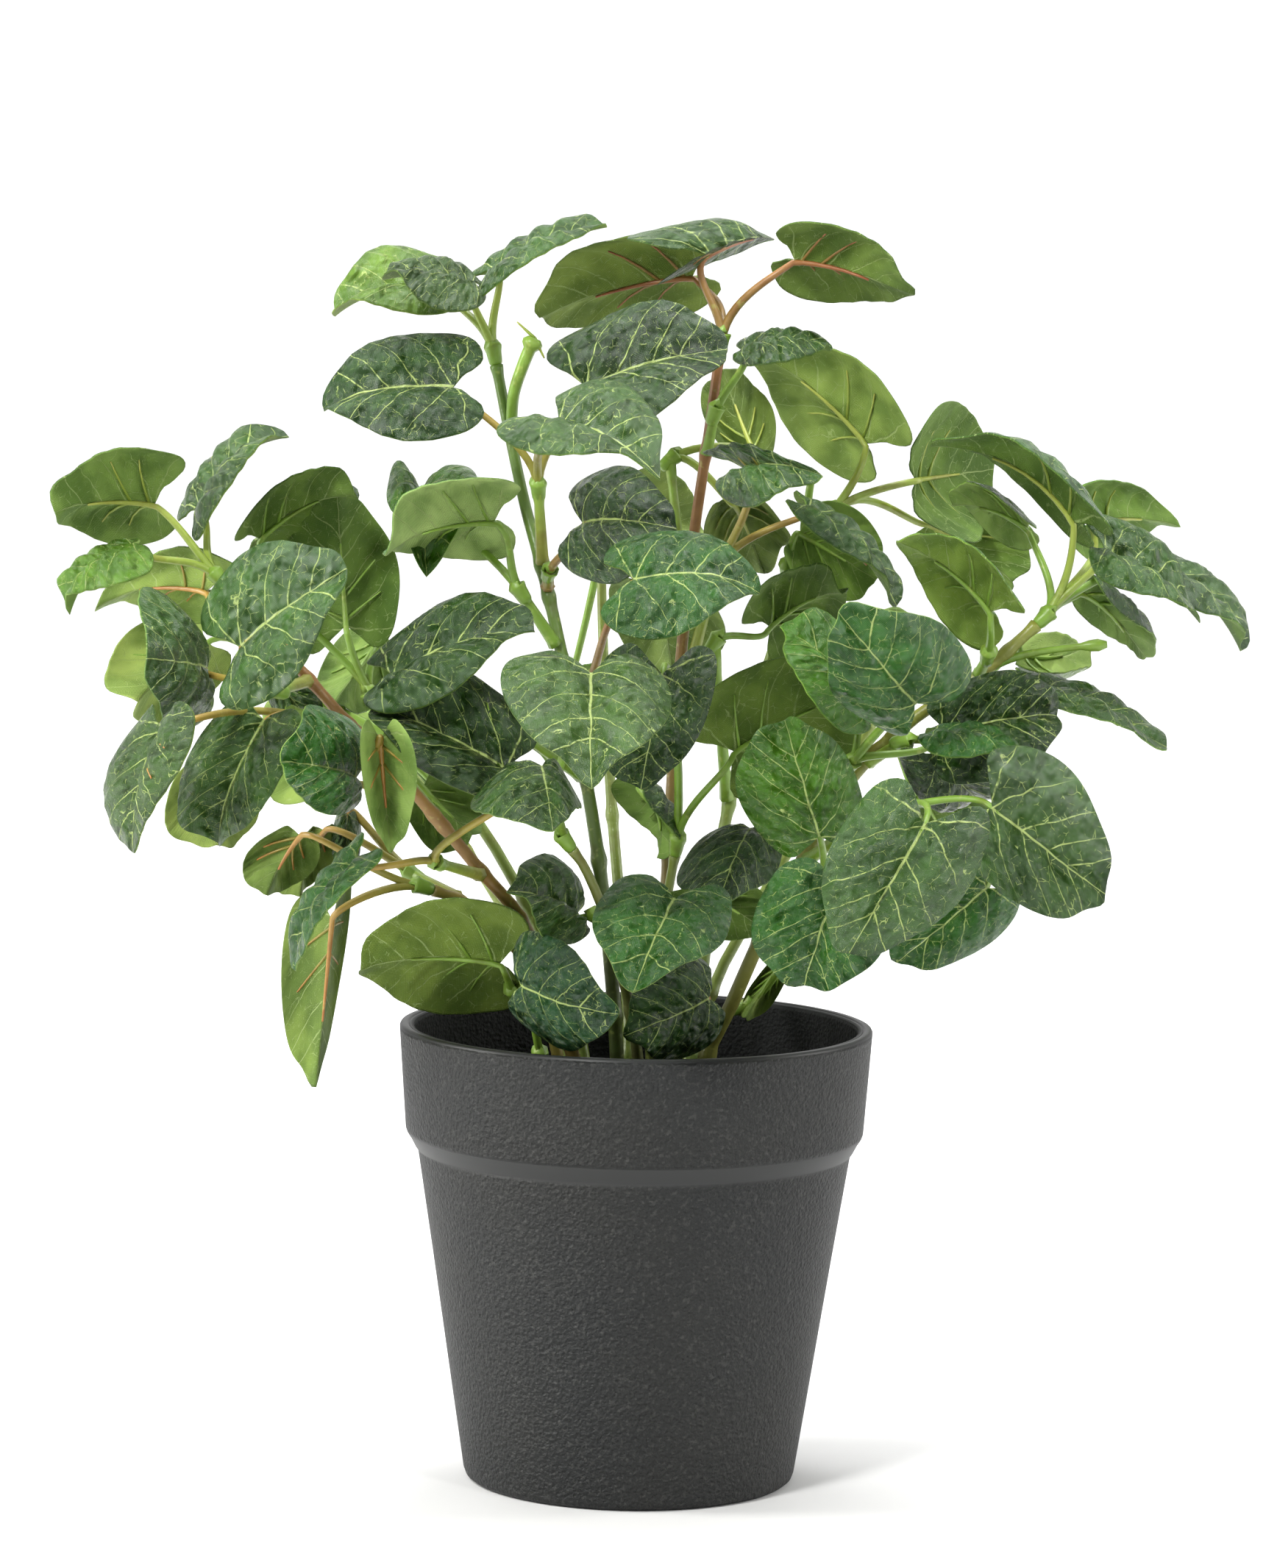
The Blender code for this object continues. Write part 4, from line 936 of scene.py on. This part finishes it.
def addBlade(name, leaf, tones, bow):
    chance = random.Random(name)
    base, along, halves, normal = [np.array(part) for part in leafFrame(leaf)]
    x, y, z = templatePoints.T
    u = y / leafForm["length"]
    v = x / leafForm["halfWidth"]
    wide = np.abs(v)
    middle = leafForm["middle"]
    out = np.clip(np.hypot((u - middle) / 0.62, v), 0, 1.2)
    angle = np.arctan2(v, u - middle)
    phase = [chance.uniform(0, 6.28) for _ in range(6)]
    rise = 4 * bow * u * (1 - u) - leafForm["droop"] * wide ** 2
    swell = leafForm["swell"] * chance.uniform(*leafForm["swellVary"])
    rise += swell * np.sin(np.clip(wide, 0, 1) * math.pi)
    ribs = y - wide * leafForm["halfWidth"] * (0.34 + 0.3 * wide) + 0.6 * np.sin(phase[0])
    pillow = 0.5 - 0.5 * np.cos(ribs * 2 * math.pi / leafForm["pillowPitch"])
    pillow *= np.clip(wide * 3.2, 0, 1) * np.clip((1.1 - out) * 2, 0, 1)
    rise += leafForm["pucker"] * pillow
    rise -= leafForm["groove"] * np.exp(-(v / 0.06) ** 2) * np.clip(1.05 - u, 0, 1)
    waves = np.sin(angle * 3 + phase[1]) + 0.7 * np.sin(angle * 5 + phase[2])
    rise += leafForm["wave"] * waves * out ** 3
    rise += chance.uniform(*leafForm["curl"]) * np.clip(u - 0.5, 0, 1) ** 2
    edgeShift = 1 + leafForm["ripple"] * np.sin(angle * 7 + phase[3]) * out ** 4
    u = middle + (u - middle) * edgeShift
    v = v * edgeShift
    half = np.where(v[:, None] > 0, halves[0], halves[1])
    place = base + along * u[:, None] + half * np.abs(v)[:, None] \
        + normal * ((rise + z) * mm)[:, None]
    mesh = template.data.copy()
    blade = bpy.data.objects.new(name, mesh)
    bpy.context.scene.collection.objects.link(blade)
    mesh.vertices.foreach_set("co", place.ravel())
    mapped = np.stack([x, y, np.full_like(x, chance.random())], 1)
    layer = mesh.attributes.new("leafPlace", "FLOAT_VECTOR", "POINT")
    layer.data.foreach_set("vector", mapped.ravel())
    vary = chance.uniform(*leafForm["toneVary"])
    warm = chance.uniform(*leafForm["warmVary"])
    upperSide = z > -0.5 * leafForm["thickness"]
    tone = np.where(upperSide[:, None], np.array(tones[0]), np.array(tones[1]))
    paint(blade, "leafTone", tone * vary * (warm, 1.0, 0.8))
    mesh.update()
    # the skins must face out whichever way the blade was laid
    direction = np.cross(along, halves[0] - halves[1])
    if np.dot(direction, normal) < 0:
        mesh.flip_normals()
    return blade


def collarPiece(centre, way, tones):
    # a cup that the leaf stalks stand in
    length, radius = stalkForm["collarLength"], stalkForm["collarRadius"]
    route = [centre + way * (length * mm * t) for t, _ in stalkForm["collar"]]
    return moulded("collar", route, [radius * r for _, r in stalkForm["collar"]], tones, 2)


def pushedClear(point, curve, distance):
    best = None
    for a, b in zip(curve, curve[1:]):
        share = (point - a).dot(b - a) / (b - a).length_squared
        nearest = a + (b - a) * min(1.0, max(0.0, share))
        if best is None or (point - nearest).length < (point - best).length:
            best = nearest
    away = point - best
    return point if away.length >= distance else best + away.normalized() * distance


def addSprig(short):
    # a foot on the stem, a collar, and a stalk and blade for each leaf
    spring, collar, leaves = sprigs[short]
    curve, radii = stemLine("stem_" + short[0])
    wanted = placed(spring)
    index = min(range(len(curve)), key=lambda i: (curve[i] - wanted).length)
    onStem, radius = curve[index], radii[index]
    gap = stalkForm["gap"]
    atTip = index == len(curve) - 1
    if atTip:
        way = (curve[-1] - curve[-2]).normalized()
        centre = onStem + way * ((gap + 2.6) * mm)
    else:
        clear = radius + stalkForm["collarClear"] + 2 * gap
        centre = pushedClear(placed(collar), curve, clear * mm)
        run = (curve[index + 1] - onStem).normalized()
        out = centre - onStem
        out = (out - run * out.dot(run)).normalized()
        foot = onStem + out * (radius * 0.9 * mm)
        way = (centre - foot).normalized()
    spread = sum(((placed(leaf[0]) - centre).normalized() for leaf in leaves), Vector())
    leaving = (way + spread.normalized()).normalized()
    tones = stalkTones[stalkToneOf.get(short, "green")]
    green = stalkTones["green"]
    stalks = [collarPiece(centre, way if atTip else leaving, (green[0], green[1]))]
    if not atTip:
        route = smoothRoute([foot, foot.lerp(centre, 0.5), centre], 5)
        swell = [1.5, 1.25, *taper(1.2, 1.0, len(route) - 4), 1.2, 1.3]
        stalks.append(moulded("foot", route, [stalkForm["footRadius"] * k for k in swell],
                              (tones[0], green[1]), 1))
    thin = taper(stalkForm["veinRadius"], stalkForm["veinTip"], 4)
    blades = []
    for number, leaf in enumerate(leaves):
        key = f"{short}.{number}"
        bow = leafBows.get(key, leafForm["bow"])
        form = leafFrame(leaf)
        base, along, _, normal = form
        straight = along.normalized()
        deep = -leafForm["thickness"] - 0.55
        elbow = base - normal * (1.6 * mm) - straight * (0.5 * mm)
        reach = (elbow - centre).length
        arriving = (straight * 0.35 + normal * 0.75).normalized()
        route = archRoute(centre, centre + leaving * (0.38 * reach),
                          elbow - arriving * (0.30 * reach), elbow, 12)
        turn = len(route)
        route += [ribPoint(form, u, 0.0, bow, deep + 0.25 * u) for u in stalkForm["ribs"]]
        thick = taper(stalkForm["radius"], stalkForm["endRadius"], turn)
        thick += taper(stalkForm["ribRadius"], stalkForm["ribTip"], len(stalkForm["ribs"]))
        stalks.append(moulded("stalk", route, thick, tones, 1))
        for start, end, across in stalkForm["sideRibs"]:
            for side in (1, -1):
                vein = [ribPoint(form, start + (end - start) * t, side * across * t, bow,
                                 -leafForm["thickness"] - 0.10 - 0.15 * (1 - t))
                        for t in (0.0, 0.35, 0.7, 1.0)]
                stalks.append(moulded("rib", vein, thin, tones, 0))
        blades.append(addBlade(key, leaf, leafTones[leafToneOf[short][number]], bow))
    name = "sprig_" + short
    finished(stalks, "stalks" + short.title(), [stalkPlastic], [name])
    finished(blades, "leaves" + short.title(), [leafUpper, leafLower], [name])


for sprigName in sprigs:
    addSprig(sprigName)
bpy.data.objects.remove(template)
print("sprigs made:", len(sprigs))

# a pale floor that sweeps up into the backdrop
stageForm = {"half": 4.0, "height": 5.0, "round": 1.2, "cornerSteps": 12}
bpy.ops.mesh.primitive_plane_add(size=2 * stageForm["half"], location=(0, 0, 0))
sweep = bpy.context.object
sweep.name = "floorSweep"
bpy.ops.object.mode_set(mode="EDIT")
bpy.ops.mesh.select_mode(type="EDGE")
bpy.ops.mesh.select_all(action="DESELECT")
bpy.ops.object.mode_set(mode="OBJECT")
for edge in sweep.data.edges:
    edge.select = all(sweep.data.vertices[i].co.y > 0 for i in edge.vertices)
bpy.ops.object.mode_set(mode="EDIT")
bpy.ops.mesh.extrude_edges_move(TRANSFORM_OT_translate={"value": (0, 0, stageForm["height"])})
bpy.ops.object.mode_set(mode="OBJECT")
corner = sweep.modifiers.new("corner", "BEVEL")
corner.width = stageForm["round"]
corner.segments = stageForm["cornerSteps"]
applyAll(sweep)
bpy.ops.object.shade_smooth()
paper = Finish("paleSweep", Roughness=0.9, Specular_IOR_Level=0.1)
fibre = paper.noise(paper.objectPlace(), 60.0, 3.0)
paper.feed("Base Color", paper.mix(fibre, (0.65, 0.65, 0.65, 1), (0.67, 0.67, 0.67, 1)))
sweep.data.materials.append(paper.material)

lights = {
    # name: place, aim, width, height, watts, colour
    "overhead": ((0.1, 0.15, 1.9), (0, 0, 0.10), 1.2, 1.0, 42, (1.0, 1.0, 1.0)),
    "left": ((-1.6, -0.15, 0.8), (0, 0, 0.2), 0.5, 1.2, 32, (1.0, 0.99, 0.96)),
    "frontLeft": ((-0.7, -1.2, 1.3), (0, 0, 0.22), 0.28, 0.28, 27, (1.0, 1.0, 0.98)),
    "frontRight": ((0.9, -1.3, 1.1), (0, 0, 0.22), 0.24, 0.24, 8, (1.0, 1.0, 0.98)),
    "right": ((1.7, 0.25, 0.8), (0, 0, 0.2), 0.5, 1.2, 16, (1.0, 0.98, 0.95)),
    "backdrop": ((0.0, 1.4, 2.4), (0, 3.2, 0.6), 3.0, 1.0, 110, (1.0, 1.0, 1.0)),
}
for lightName, (where, aim, width, height, watts, colour) in lights.items():
    bpy.ops.object.light_add(type="AREA", location=where)
    lamp = bpy.context.object
    lamp.name = lightName
    lamp.rotation_euler = (Vector(aim) - Vector(where)).to_track_quat("-Z", "Y").to_euler()
    lamp.data.shape = "RECTANGLE"
    lamp.data.size = width
    lamp.data.size_y = height
    lamp.data.energy = watts
    lamp.data.color = colour
world = bpy.data.worlds.new("studio")
bpy.context.scene.world = world
world.use_nodes = True
# pale walls round the room, and a dim ceiling that keeps the gloss of the leaves crisp
room = {"walls": 0.62, "ceiling": 0.12, "wallTop": 0.35, "ceilingFrom": 0.62}
sky = world.node_tree.nodes
heading = sky.new("ShaderNodeTexCoord")
apart = sky.new("ShaderNodeSeparateXYZ")
fall = sky.new("ShaderNodeMapRange")
fall.inputs["From Min"].default_value = room["wallTop"]
fall.inputs["From Max"].default_value = room["ceilingFrom"]
fall.inputs["To Min"].default_value = room["walls"]
fall.inputs["To Max"].default_value = room["ceiling"]
sky["Background"].inputs["Color"].default_value = (1.0, 1.0, 1.0, 1)
world.node_tree.links.new(heading.outputs["Generated"], apart.inputs[0])
world.node_tree.links.new(apart.outputs["Z"], fall.inputs["Value"])
world.node_tree.links.new(fall.outputs["Result"], sky["Background"].inputs["Strength"])
bpy.context.scene.view_settings.view_transform = "Standard"

view = {"eye": (-0.0005, -1.5, 0.335), "aim": (-0.0005, 0.0, 0.178), "roll": 1.0,
        "lens": 136.94, "sensor": 36.0}
bpy.ops.object.camera_add(location=view["eye"])
camera = bpy.context.object
camera.rotation_mode = "QUATERNION"
looking = (Vector(view["aim"]) - Vector(view["eye"])).to_track_quat("-Z", "Y")
camera.rotation_quaternion = looking @ Quaternion((0, 0, 1), math.radians(view["roll"]))
camera.data.lens = view["lens"]
camera.data.sensor_width = view["sensor"]
bpy.context.scene.camera = camera
print("studio set")
